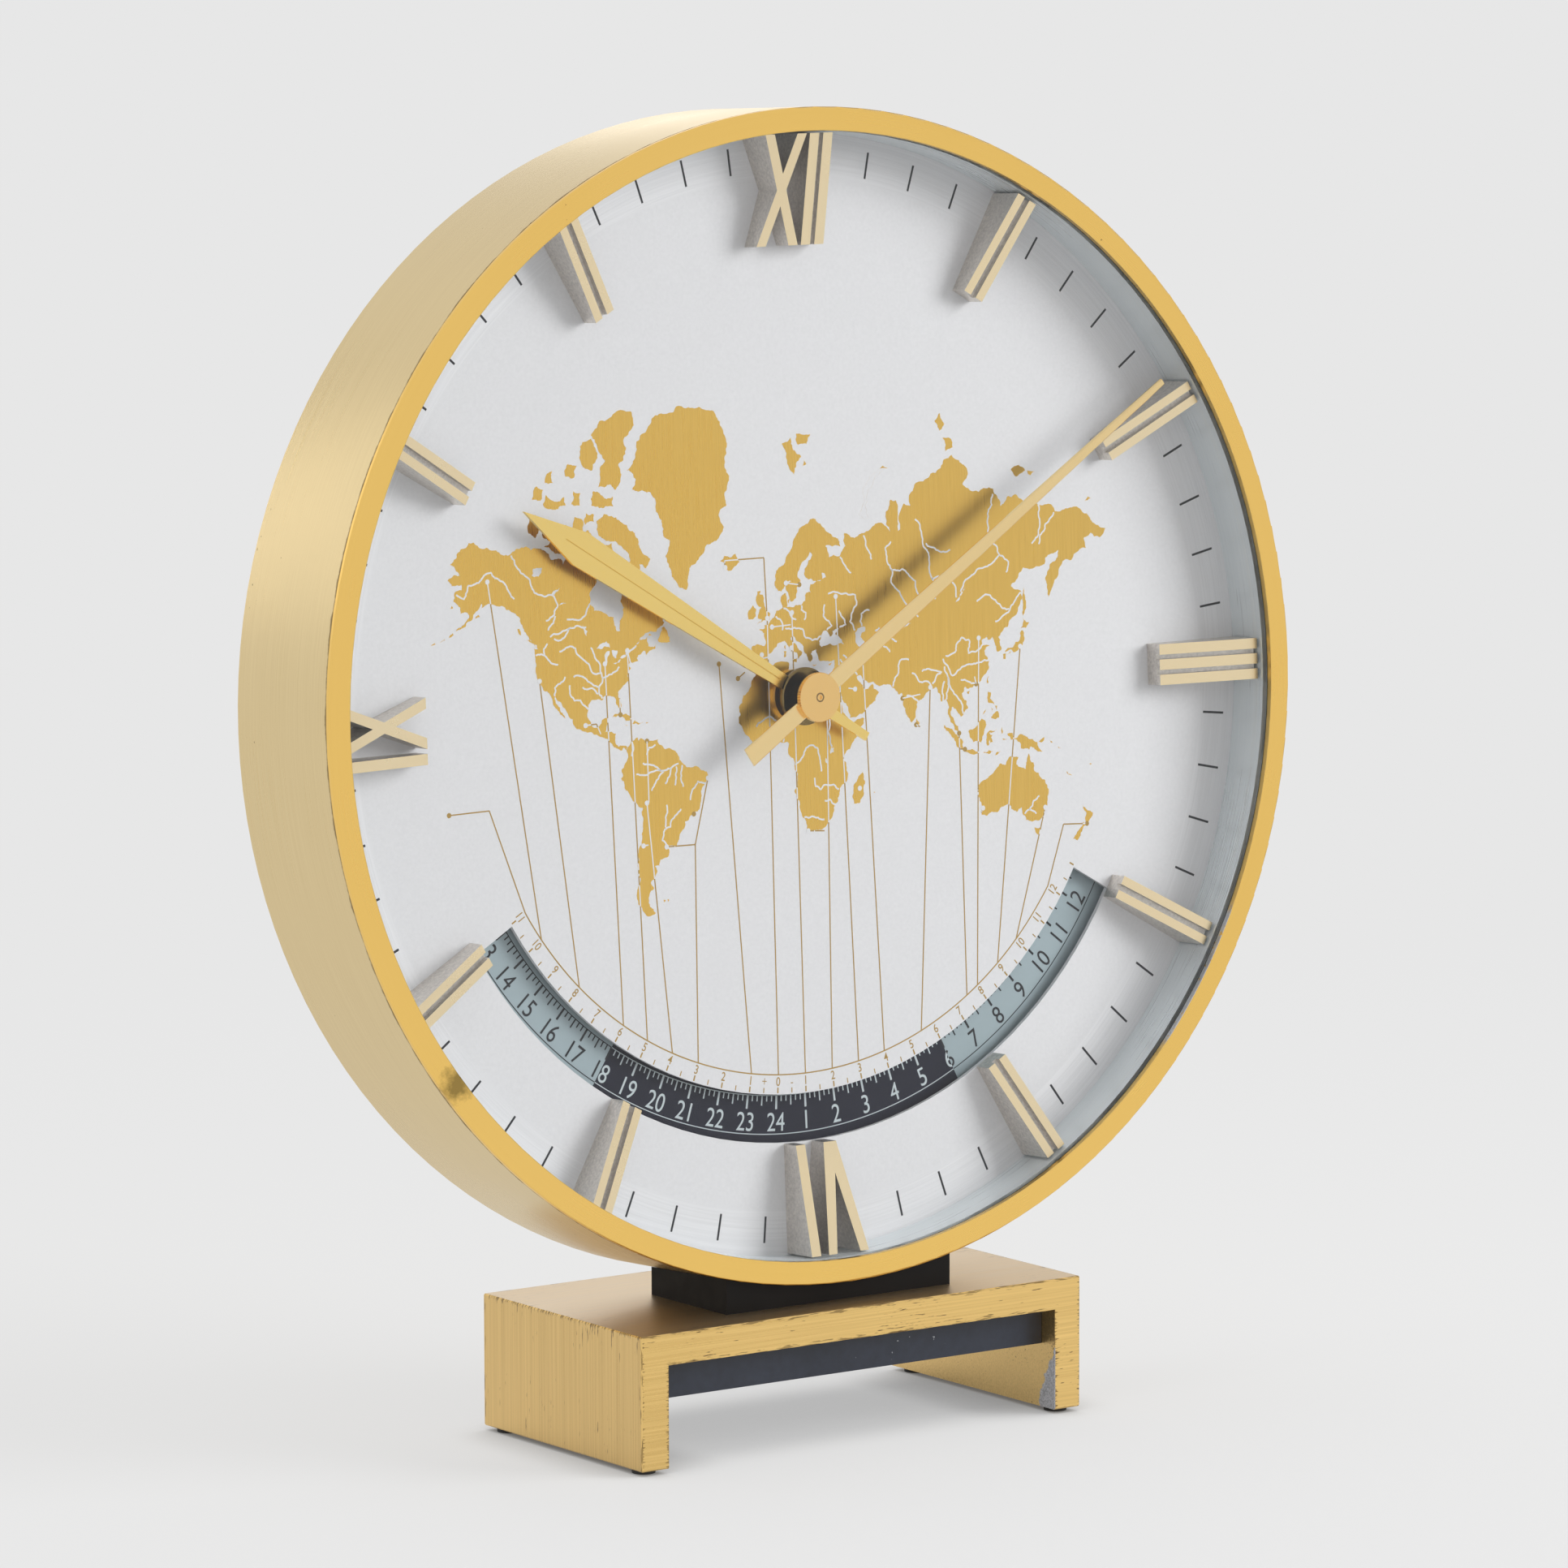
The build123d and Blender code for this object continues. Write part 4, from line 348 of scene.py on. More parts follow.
RIVERS = (
    (-164, 62.8, -160, 61.8, -157.5, 64.4, -151, 65.2, -145.5, 66.4, -141, 64.8, -137, 62.8, -134, 61),
    (
        -135, 69, -133, 67.4, -128.5, 65.6, -124.5, 62.8, -119, 61.2, -114, 61.2, -111.5, 59, -113.5, 56.8,
        -118, 55.5,
    ),
    (-113, 56.5, -114, 54.8, -117, 53),
    (-94.5, 58.7, -97, 56.2, -101, 55, -107, 55.4),
    (-97, 53, -101.5, 53.6, -105.5, 53.2, -109, 52.6, -114, 52, -116, 51.2),
    (-105.5, 53.2, -108, 51.2, -112, 50, -114, 50.6),
    (-89.8, 29.6, -91.4, 31.5, -90.2, 35, -89.2, 37, -90.4, 39.5, -91.3, 42.8, -93.2, 45, -95, 47.2),
    (-90.3, 38.8, -94.6, 39.2, -96.3, 42.2, -100.4, 44.5, -103, 47.4, -108, 47.8, -111.5, 46.8),
    (-89.2, 37, -86, 38, -83, 38.8, -80.2, 40.4),
    (-91.2, 34, -95.2, 35.5, -99, 37.8, -104.5, 38.2),
    (-92, 31.4, -95, 33.8, -100, 34.4),
    (-97.3, 25.9, -99.6, 27.6, -101.5, 29.7, -104.5, 29.7, -106.5, 31.8, -106.6, 35.5),
    (-114.8, 32, -114.6, 35, -111.8, 36.3, -109, 38.6),
    (-123.8, 46.2, -119.3, 46, -119.6, 48, -117.6, 49.4),
    (-119.3, 46, -116.6, 44, -112.4, 42.8),
    (-71, 46.8, -73.7, 45.5, -76.5, 44.2),
    (-62.5, 8.6, -66, 7.6, -67.4, 4.5),
    (-50.5, -0.6, -54.7, -2.4, -60, -3.1, -65, -3.2, -70, -4.2, -73.2, -3.7),
    (-60, -3.1, -63, -1, -67, 0.2, -69.5, 1),
    (-58.6, -3.4, -61.5, -6.5, -64, -9.6, -65.4, -11.4),
    (-54.7, -2.6, -56.5, -6.5, -58, -9),
    (-51.8, -1.8, -52.3, -5.5, -52.8, -10),
    (-48.6, -1.4, -49.2, -6, -48.4, -11),
    (-36.6, -10.4, -40.5, -9.2, -43.5, -12.5, -44.8, -17),
    (-58.4, -33.8, -60.6, -32, -59, -28, -56, -27.2, -54.6, -24, -50, -20.3),
    (-58.7, -27.2, -57.8, -22, -57.6, -18),
    (-74.9, 10.8, -74.2, 7.5, -75.3, 4.5),
    (31.2, 31.2, 31, 27, 32.8, 24.2, 31.5, 19.6, 32.6, 15.6, 32.3, 11, 31, 7.4, 32, 3, 33, 0.5),
    (32.6, 15.6, 35, 11.6, 37.3, 11.6),
    (12.6, -6, 15.4, -4.3, 17.5, -0.8, 20.5, 2, 25, 0.5, 26.3, -5, 26.6, -10),
    (6.4, 4.6, 6.7, 7.8, 4.2, 11.5, 0, 16.2, -4, 15, -8, 12.4),
    (36, -18.4, 33, -16.2, 29, -16, 26, -17.9, 23.2, -16.2, 22.8, -12.5),
    (16.5, -28.6, 20.5, -28.5, 24, -29.2, 27.5, -30.2),
    (34, -24.8, 31, -22.4, 28, -22.6),
    (28.8, 45, 24, 43.8, 20.5, 44.8, 19, 47.5, 14.5, 48.2, 9.5, 48.2),
    (4.5, 51.8, 6.8, 51, 8.2, 49, 7.8, 47.7),
    (8.9, 53.8, 11.8, 53, 13.2, 51.2, 15.6, 50.4),
    (18.9, 54.2, 18.6, 53, 21, 52.2, 20, 50.2),
    (32.2, 46.7, 35, 47.8, 33.2, 49.4, 30.6, 50.8, 31.4, 54),
    (39.2, 47.2, 42.6, 47.8, 41, 50, 39.2, 52),
    (47.6, 45.8, 45, 48.6, 46.2, 51, 49, 53.2, 48.4, 55.8, 43.5, 56.4, 38.6, 56.8, 33.5, 56.6),
    (51.5, 47, 51.4, 50.6, 56, 51.4),
    (40.6, 64.4, 43.5, 62.6, 46.5, 61),
    (54, 68, 56, 65.5, 58, 63.5),
    (69, 66.6, 65.8, 65.5, 66.6, 62.8, 69, 61, 75, 61, 82, 58, 83.5, 54.5, 84.8, 52.4),
    (69, 61, 68.4, 58.2, 73.4, 55, 77, 52, 83, 48.4),
    (82.8, 70, 86.4, 67, 89, 64.5, 89.8, 61, 92.2, 57.6, 92.6, 53),
    (88.5, 65.8, 94, 64.4, 102, 64.2),
    (91, 58.2, 97, 58.6, 102.2, 57.4, 104.6, 53),
    (126.8, 72.8, 123.6, 70, 124.4, 66, 129.6, 62.4, 124, 60.4, 118, 59.8, 112, 57.8, 107, 54.4),
    (129.6, 62.4, 134.5, 60.8, 133, 58.4),
    (152.2, 70.8, 153, 67.6, 148, 64.2),
    (161, 69.5, 156, 67.6, 152, 64),
    (141, 53, 137, 50.4, 134.8, 48.4, 130.6, 48.8, 126.5, 51.4, 121, 53.2, 116, 51.4),
    (134.8, 48.4, 130, 46.4, 126, 45),
    (118.9, 37.6, 114.5, 35, 110.4, 34.7, 110.8, 39.6, 106.8, 40.6, 103.5, 36.2, 97.5, 34.5),
    (121.6, 31.5, 117.5, 30.9, 114.2, 30.5, 110.6, 30.6, 105.4, 28.8, 101, 26.6, 99, 29.6, 96, 33.5),
    (113.4, 22.6, 110, 23.5, 105.6, 24.6),
    (106.3, 10, 105.6, 14.6, 103, 18, 100.5, 20.6, 98.6, 26, 96.8, 30.5),
    (97.4, 16.8, 98.4, 21.4, 98.6, 26),
    (95.4, 16.2, 95, 20.4, 96.5, 24.6),
    (89.6, 22.2, 87.4, 25, 82, 25.6, 78.4, 29),
    (89.6, 24, 91.6, 26.3, 95, 28.4, 91, 29.3, 84, 29.4),
    (67.6, 24.2, 68.8, 27.6, 71, 30.6, 72, 34.2, 77, 34.2),
    (81.6, 16.6, 79, 18.6, 75, 19.8),
    (48.2, 30.2, 46, 32.4, 43.4, 35.6, 40.6, 38),
    (46.6, 31.2, 43, 33.8, 39, 36.6),
    (59, 43.6, 62.4, 40.4, 66.6, 37.6),
    (61, 46, 66.4, 43.6, 70.6, 41),
    (139.4, -35.6, 142, -34.2, 146, -36),
    (142, -34.2, 144.6, -31, 148, -29.2),
)

# Cities with the longitude and latitude of each dot.

CITIES = {
    "fairbanks": (-147.7, 64.8), "san_francisco": (-122.4, 37.8), "chicago": (-87.8, 41.8),
    "mexico": (-99.1, 19.4), "new_york": (-74, 40.7), "ottawa": (-75.7, 45.4), "cuba": (-80.5, 22.6),
    "santiago": (-70.7, -33.4), "la_paz": (-68.1, -16.5), "caracas": (-66.9, 10.5), "rio": (-43.2, -22.9),
    "buenos_aires": (-58.4, -34.6), "recife": (-35, -8.2), "azores": (-27, 38.5), "madeira": (-17, 32.7),
    "london": (-0.1, 51.5), "reykjavik": (-21.9, 64.1), "lisbon": (-9.1, 38.7), "madrid": (-3.7, 40.4),
    "berlin": (13.4, 52.5), "paris": (2.3, 48.9), "rome": (12.5, 41.9), "oslo": (10.7, 59.9),
    "stockholm": (18, 59.3), "cape_town": (18.4, -33.9), "cairo": (31.2, 30), "moscow": (37.6, 55.8),
    "riyadh": (46.7, 24.6), "teheran": (51.4, 35.7), "bombay": (72.8, 19), "calcutta": (88.4, 22.6),
    "colombo": (79.9, 6.9), "singapore": (103.8, 1.3), "djakarta": (106.8, -6.2), "peking": (116.4, 39.9),
    "hongkong": (114.2, 22.3), "perth": (115.9, -31.9), "tokyo": (139.7, 35.7), "sydney": (151.2, -33.9),
    "wellington": (174.8, -41.3), "samoa_east": (-171.8, -13.8), "madagascar": (47.5, -18.9),
}

# Lines from a city down to the hour scale, by the angle where each meets it. A pair of numbers is a bend
# in millimetres on the dial.

CITY_LINES = (
    (-60, ("samoa_east", (-78.3, -18.5))),
    (-55, ("fairbanks",)),
    (-45, ("san_francisco",)),
    (-35, ("chicago",)),
    (-30, ("ottawa",)),
    (-25, ("la_paz",)),
    (-20, ((-26.6, -29.8),)),
    (-10, ("azores",)),
    (-5, ("london",)),
    (0, ("berlin",)),
    (5, ("cairo",)),
    (10, ("moscow",)),
    (15, ("teheran",)),
    (22.5, ("calcutta",)),
    (32.5, ("singapore",)),
    (35, ("peking",)),
    (40, ("tokyo",)),
    (45, ("sydney",)),
    (55, ((71.3, -33.4),)),
)

# Further lines between cities and bends.

LINKS = (
    ("ottawa", "new_york"), ("cuba", (-44.6, 2.6)), ("mexico", (-50.7, -2.4), (-49.7, -4.6)),
    ("caracas", (-38.1, -20)), ("santiago", (-38.6, -28.9)), ("recife", (-26.6, -29.8), "buenos_aires"),
    ("rio", (-26.4, -23)), ("reykjavik", (-16.6, 29.8), (-6.4, 29.8), "london"), ("lisbon", (-6, 8.6)),
    ("madrid", (-7.4, 9.5)), ("paris", (0, 15.1)), ("oslo", (0.3, 24.4)), ("stockholm", "oslo"),
    ("rome", (0.1, 9.4)), ("riyadh", (14.6, 0.5)), ("bombay", (33.6, -2.2)), ("colombo", (33.3, -9.2)),
    ("djakarta", (43.9, -14.8)), ("hongkong", (48.3, 0.6)), ("perth", (49, -29)), ("cape_town", (7.1, -29.6)),
    ("madeira", (-12.3, 5.8)), ("wellington", (71.3, -33.4)),
)


# Flat shapes


def on_map(longitude, latitude):
    """The point on the dial, in millimetres, of a place on the map."""
    north = math.log(math.tan(math.radians(45 + latitude / 2)))
    return (MAP_X + MAP_DEGREE * longitude, MAP_Y + MAP_RADIAN * north)


def on_circle(radius, degrees):
    """A point on a circle about the dial's centre."""
    angle = math.radians(degrees)
    return (radius * math.sin(angle), -radius * math.cos(angle))


def map_points(row):
    return [on_map(*place) for place in zip(row[::2], row[1::2])]


def edges_of(outline):
    return zip(outline, outline[1:] + outline[:1])


def wander(start, end, rng, step, wobble):
    """The points from start up to, but without, end, on a line that wanders a little."""
    dx = end[0] - start[0]
    dy = end[1] - start[1]
    if math.hypot(dx, dy) < step:
        return [start]
    shift = rng.uniform(-wobble, wobble)
    place = rng.uniform(*BREAK_AT)
    middle = (start[0] + dx * place - dy * shift, start[1] + dy * place + dx * shift)
    return wander(start, middle, rng, step, wobble) + wander(middle, end, rng, step, wobble)


def coast(row, rng):
    """The closed outline of a row of the tables, with each long edge broken up as a coast is."""
    done = []
    for start, end in edges_of(map_points(row)):
        done += wander(start, end, rng, COAST_STEP, COAST_WOBBLE)
    return done


def river(row, rng):
    points = map_points(row)
    line = []
    for start, end in zip(points, points[1:]):
        line += wander(start, end, rng, RIVER_STEP, RIVER_WOBBLE)
    return strip(line + [points[-1]], RIVER_WIDTH)


def strip(points, width):
    """The outline of a line of that width through the points."""
    left = []
    right = []
    for i, point in enumerate(points):
        before = points[max(i - 1, 0)]
        after = points[min(i + 1, len(points) - 1)]
        dx = after[0] - before[0]
        dy = after[1] - before[1]
        share = width / 2 / math.hypot(dx, dy)
        left.append((point[0] - dy * share, point[1] + dx * share))
        right.append((point[0] + dy * share, point[1] - dx * share))
    return left + right[::-1]


def arc(radius, start, end):
    """Points about one degree apart."""
    count = max(2, math.ceil(abs(end - start)) + 1)
    return [on_circle(radius, start + (end - start) * i / (count - 1)) for i in range(count)]


def sector(inner, outer, start, end):
    return arc(outer, start, end) + arc(inner, end, start)


def spoke(inner, outer, degrees, width):
    return strip([on_circle(inner, degrees), on_circle(outer, degrees)], width)


def dot(centre):
    turns = [2 * math.pi * i / DOT_SIDES for i in range(DOT_SIDES)]
    return [(centre[0] + DOT_RADIUS * math.cos(t), centre[1] + DOT_RADIUS * math.sin(t)) for t in turns]


def crossing(a, b, c, d):
    """How far along the line from a to b it crosses the one from c to d, or None."""
    r = (b[0] - a[0], b[1] - a[1])
    s = (d[0] - c[0], d[1] - c[1])
    cross = r[0] * s[1] - r[1] * s[0]
    if cross == 0:
        return None
    gap = (c[0] - a[0], c[1] - a[1])
    along = (gap[0] * s[1] - gap[1] * s[0]) / cross
    across = (gap[0] * r[1] - gap[1] * r[0]) / cross
    return along if 0 <= along <= 1 and 0 <= across < 1 else None


def inside(point, outline):
    far = (point[0] + FAR_SHIFT[0], point[1] + FAR_SHIFT[1])
    return sum(crossing(point, far, c, d) is not None for c, d in edges_of(outline)) % 2 == 1


def split_by(outlines, start, end):
    """The parts of a line that lie on the outlines' shapes, and the parts that don't."""
    found = [crossing(start, end, c, d) for outline in outlines for c, d in edges_of(outline)]
    cuts = sorted({0.0, 1.0} | {along for along in found if along is not None})
    on = []
    off = []
    for low, high in zip(cuts, cuts[1:]):
        if high - low < LEAST_SHARE:
            continue
        a, middle, b = [
            (start[0] + (end[0] - start[0]) * t, start[1] + (end[1] - start[1]) * t)
            for t in (low, (low + high) / 2, high)
        ]
        (on if any(inside(middle, outline) for outline in outlines) else off).append([a, b])
    return on, off


# Meshes


def new_object(name, data):
    made = bpy.data.objects.new(name, data)
    bpy.context.scene.collection.objects.link(made)
    return made


def upward(points, corners):
    """The three corners of a triangle in the order that faces the viewer."""
    a, b, c = [points[i] for i in corners]
    turn = (b[0] - a[0]) * (c[1] - a[1]) - (b[1] - a[1]) * (c[0] - a[0])
    return corners if turn > 0 else corners[::-1]


def add_slab(mesh, outline, low, high):
    """A closed flat prism over an outline, from low to high in front of the dial."""
    area = sum(a[0] * b[1] - a[1] * b[0] for a, b in edges_of(outline))
    points = outline if area > 0 else outline[::-1]
    lower = [mesh.verts.new(HEAD @ (Vector((x, y, low)) * MM)) for x, y in points]
    upper = [mesh.verts.new(HEAD @ (Vector((x, y, high)) * MM)) for x, y in points]
    for corners in tessellate_polygon([[Vector((x, y, 0)) for x, y in points]]):
        a, b, c = upward(points, corners)
        mesh.faces.new((upper[a], upper[b], upper[c]))
        mesh.faces.new((lower[c], lower[b], lower[a]))
    for i in range(len(points)):
        j = (i + 1) % len(points)
        mesh.faces.new((lower[i], lower[j], upper[j], upper[i]))


def piece(name, body, material, mesh):
    data = bpy.data.meshes.new(name)
    mesh.to_mesh(data)
    mesh.free()
    made = new_object(name, data)
    data.materials.append(material)
    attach(made, body)


def slabs(name, body, material, outlines, low, high):
    """One piece of flat print made of many outlines."""
    mesh = bmesh.new()
    for outline in outlines:
        add_slab(mesh, outline, low, high)
    piece(name, body, material, mesh)


def on_dial(name, outlines, high, tone="line"):
    """Print on the bare dial, in the line's gold or the map's."""
    slabs(name, "case", prints[tone], outlines, 0, high)


def on_land(name, outlines, layers):
    """Silver print on the map's land."""
    slabs(name, "case", prints["silver"], outlines, PRINT, OVERPRINT + layers * LAYER)


def figure(text, height, thick, narrow, weight):
    """The mesh of a figure, centred, height millimetres tall and thick millimetres deep, in its own plane."""
    curve = bpy.data.curves.new("figure", "FONT")
    curve.body = text
    curve.align_x = "CENTER"
    curve.extrude = thick / 2
    curve.offset = weight
    maker = new_object("figure", curve)
    bpy.context.view_layer.update()
    data = bpy.data.meshes.new_from_object(maker.evaluated_get(bpy.context.evaluated_depsgraph_get()))
    bpy.data.objects.remove(maker)
    mesh = bmesh.new()
    mesh.from_mesh(data)
    bpy.data.meshes.remove(data)
    size = height / CAP_HEIGHT
    for vert in mesh.verts:
        x, y, z = vert.co
        vert.co = (x * size * narrow, (y - CAP_HEIGHT / 2) * size, thick / 2 + z)
    bmesh.ops.remove_doubles(mesh, verts=mesh.verts, dist=SAME_POINT)
    return mesh


def place_figure(target, source, radius, degrees, base):
    """Copies a figure into target, upright along an arc and resting at base."""
    x, y = on_circle(radius, degrees)
    matrix = HEAD @ Matrix.Scale(MM, 4) @ Matrix.Translation((x, y, base))
    matrix = matrix @ Matrix.Rotation(math.radians(degrees), 4, "Z")
    copies = [target.verts.new(matrix @ vert.co) for vert in source.verts]
    source.verts.index_update()
    for face in source.faces:
        target.faces.new([copies[vert.index] for vert in face.verts])


# Materials


class Graph:
    """A node tree being put together."""

    def __init__(self, tree):
        self.tree = tree

    def feed(self, socket, value):
        if isinstance(value, bpy.types.NodeSocket):
            self.tree.links.new(value, socket)
        else:
            socket.default_value = value

    def node(self, kind, *inputs, **settings):
        made = self.tree.nodes.new("ShaderNode" + kind)
        for name, value in settings.items():
            setattr(made, name, value)
        for socket, value in zip(made.inputs, inputs):
            if value is not None:
                self.feed(socket, value)
        return made

    def out(self, kind, *inputs, **settings):
        return self.node(kind, *inputs, **settings).outputs[0]

    def maths(self, operation, *inputs):
        return self.out("Math", *inputs, operation=operation)

    def plus(self, a, b):
        return self.maths("ADD", a, b)

    def minus(self, a, b):
        return self.maths("SUBTRACT", a, b)

    def times(self, a, b):
        return self.maths("MULTIPLY", a, b)

    def times_plus(self, a, b, c):
        return self.maths("MULTIPLY_ADD", a, b, c)

    def lesser(self, a, b):
        return self.maths("MINIMUM", a, b)

    def greater(self, a, b):
        return self.maths("MAXIMUM", a, b)

    def below(self, a, b):
        return self.maths("LESS_THAN", a, b)

    def above(self, a, b):
        return self.maths("GREATER_THAN", a, b)

    def size(self, a):
        return self.maths("ABSOLUTE", a)

    def gap(self, a, b):
        return self.size(self.minus(a, b))

    def spread(self, value, low, high, to_low=0.0, to_high=1.0):
        made = self.node("MapRange", value)
        for name, number in (("From Min", low), ("From Max", high), ("To Min", to_low), ("To Max", to_high)):
            made.inputs[name].default_value = number
        return made.outputs[0]

    def fade(self, value, low, high, strength=1.0):
        """Strength below low, nothing above high."""
        return self.spread(value, low, high, strength, 0.0)

    def measure(self, operation, *inputs):
        """A number from vectors, such as a distance."""
        return self.node("VectorMath", *inputs, operation=operation).outputs["Value"]

    def object_place(self):
        return self.node("TexCoord").outputs["Object"]


class Recipe(Graph):
    """A material with one shader."""

    def __init__(self, name, **shader):
        self.material = bpy.data.materials.new(name)
        self.material.use_nodes = True
        super().__init__(self.material.node_tree)
        self.shader = self.tree.nodes["Principled BSDF"]
        self.set(**shader)

    def set(self, **inputs):
        for name, value in inputs.items():
            self.feed(self.shader.inputs[name.replace("_", " ")], value)

    def head_place(self):
        """Metres in the dial's own frame."""
        mapping = self.node("Mapping", self.object_place(), vector_type="TEXTURE")
        mapping.inputs["Location"].default_value = HEAD.to_translation()
        mapping.inputs["Rotation"].default_value = HEAD.to_euler()
        return mapping.outputs[0]

    def normal(self):
        return self.node("NewGeometry").outputs["Normal"]

    def facing(self):
        """1 where a face looks the same way as the dial, -1 where it looks back."""
        return self.measure("DOT_PRODUCT", self.normal(), HEAD.col[2].xyz)

    def split(self, place):
        return tuple(self.node("SeparateXYZ", place).outputs)

    def scaled_place(self, place, scales):
        return self.out("VectorMath", place, scales, operation="MULTIPLY")

    def radius(self, x, y):
        return self.maths("SQRT", self.plus(self.times(x, x), self.times(y, y)))

    def turned_place(self, low, high):
        """A place that changes fast across the marks of turning and slowly along them."""
        x, y, z = self.split(self.head_place())
        across = self.plus(self.radius(x, y), z)
        return self.scaled_place(self.out("CombineXYZ", x, y, across), (low, low, high))

    def noise(self, place, scale, detail, rough=0.55):
        made = self.node("TexNoise", place)
        for name, number in (("Scale", scale), ("Detail", detail), ("Roughness", rough)):
            made.inputs[name].default_value = number
        return made.outputs["Fac"]

    def mottle(self, scale, detail, rough=0.55):
        return self.noise(self.object_place(), scale, detail, rough)

    def ragged(self, scale, detail, reach):
        """A rough noise that frays an edge by up to reach metres."""
        return self.times(self.mottle(scale, detail, 0.7), reach)

    def blend(self, share, first, second):
        made = self.node("Mix", data_type="RGBA")
        for index, value in ((0, share), (6, first), (7, second)):
            self.feed(made.inputs[index], (*value, 1) if isinstance(value, tuple) else value)
        return made.outputs[2]

    def bump(self, height, depth, strength=1.0):
        made = self.node("Bump", strength, depth)
        self.feed(made.inputs["Height"], height)
        self.set(Normal=made.outputs[0])


# Most of a noise's values lie in this span.

NOISE_SPAN = (0.3, 0.7)
PIT_CLUSTER = 24.0
PIT_EDGE = 0.05

# The colours of the photograph's brass, gold, silver and print, as linear light.

BAND_PALE = (0.86, 0.70, 0.40)
BAND_DEEP = (0.72, 0.55, 0.28)
BEZEL_PALE = (1.0, 0.67, 0.20)
BEZEL_DEEP = (0.93, 0.59, 0.15)
STAND_PALE = (0.98, 0.68, 0.26)
STAND_DEEP = (0.76, 0.51, 0.18)
MARK_PALE = (1.0, 0.83, 0.54)
MARK_DEEP = (0.97, 0.78, 0.48)
MARK_GREYS = ((0.66, 0.62, 0.58), (0.90, 0.85, 0.79))
HAND_PALE = (1.0, 0.76, 0.38)
HAND_DEEP = (0.95, 0.69, 0.31)
HAND_SHADE = (0.045, 0.028, 0.016)
HOUR_HAND_TONE = (0.97, 0.69, 0.14)
HUB_TONE = (0.06, 0.038, 0.025)
CAP_TONE = (0.95, 0.54, 0.15)
LAND_PALE = (0.95, 0.62, 0.15)
LAND_DEEP = (0.82, 0.50, 0.10)
LINE_GOLD = (0.47, 0.30, 0.08)
DIAL_TONE = (0.775, 0.77, 0.785)
DAY_TONE = (0.36, 0.44, 0.47)
NIGHT_TONE = (0.018, 0.019, 0.032)
INK = (0.015, 0.015, 0.02)
PALE_INK = (0.55, 0.62, 0.64)

# The tones of the wear, and of the painted shade and reflection.

PATINA = (0.10, 0.06, 0.03)
JOINT_DEPOSIT_AND_SHADE = (0.20, 0.13, 0.05)
BORE_SHADE_TONE = (0.15, 0.165, 0.13)
RESIDUE_TONE = (0.66, 0.67, 0.70)
PATCH_TONE = (0.12, 0.09, 0.03)
NICK_TONE = (0.16, 0.10, 0.06)
RIM_TONE = (0.20, 0.13, 0.06)
TOP_DUST_AND_REFLECTION = (0.54, 0.47, 0.40)
END_FACE_SHADE = (0.42, 0.34, 0.26)
SMEAR_TONES = ((0.36, 0.37, 0.40), (0.62, 0.63, 0.67))
CHIP_TONE = (0.50, 0.52, 0.56)

# Where the wear and the painted shade sit, in metres: on the head in its own frame, on the stand in the
# part's. Two numbers are where a change begins and ends.

JOINT = (0.0128, 0.0132)
BORE = (0.12015, 0.12025)
BORE_DEPTH = (0.0128, 0.0132)
PATCH_PLACE = (-0.0973, -0.0728, 0.0138)
PATCH_EDGE = (0.0045, 0.0075)
GROOVE_FLOOR = 0.0045
SAME_LEVEL = 0.0001
HOUR_HAND_TOP = 0.0062
HUB_RADIUS = (0.0064, 0.0066)
HUB_TOP = (0.0080, 0.0082)
CAP_RADIUS = (0.0052, 0.0055)
CAP_BASE = 0.0092
CAP_RING = 0.00085
CAP_RING_EDGE = (0.00012, 0.00022)
MARGIN = (0.1098, 0.1106)
STAND_HALF = (0.0577, 0.030)
STAND_TOP = 0.0298
STAND_END = 0.055
SLOT_TOP = 0.0231
SLOT_HALF = 0.0508
WORN_LEG = (0.049, 0.052)
SMEAR_RISE = (0.004, 0.0145)
SMEAR_REACH = (0.0075, 0.0022)

# The chalky residue in the bezel's bore begins and ends at these turns, in radians.

RESIDUE = (0.80, 1.09)
RESIDUE_FADE = 0.03

# The hour marks' tops rise 4.7 mm over 23.6 mm, from 4.4 mm above the dial at a radius of 95.8 mm. What is
# 0.7 mm deeper lies in a groove, and a face that looks less than 0.8 the dial's way is a side.

MARK_SLOPE = 4.7 / 23.6
MARK_START = (4.4 - MARK_SLOPE * 95.8) * MM
MARK_GROOVE = -0.0007
MARK_SIDE = 0.8


def scaled(tone, factor, lift=0.0):
    return tuple(min(1.0, c * factor + lift) for c in tone)


def turned(low, high):
    return lambda recipe: recipe.turned_place(low, high)


def straight(x, y, z):
    return lambda recipe: recipe.scaled_place(recipe.object_place(), (x, y, z))


def upright_on_dial(across, along):
    return lambda recipe: recipe.scaled_place(recipe.head_place(), (across, along, across))


polished = upright_on_dial(900.0, 900.0)


def brushed(low, high):
    """Marks along x on the stand's front, back and top, and upright on its two ends."""

    def place(recipe):
        sideways = recipe.above(recipe.size(recipe.split(recipe.normal())[0]), 0.5)
        x, y, z = recipe.split(recipe.object_place())
        at_end = recipe.times(sideways, recipe.above(recipe.size(x), STAND_END))
        upright = recipe.times(z, recipe.spread(at_end, 0.0, 1.0, high, low))
        return recipe.out("CombineXYZ", recipe.times(x, low), recipe.times(y, high), upright)

    return place


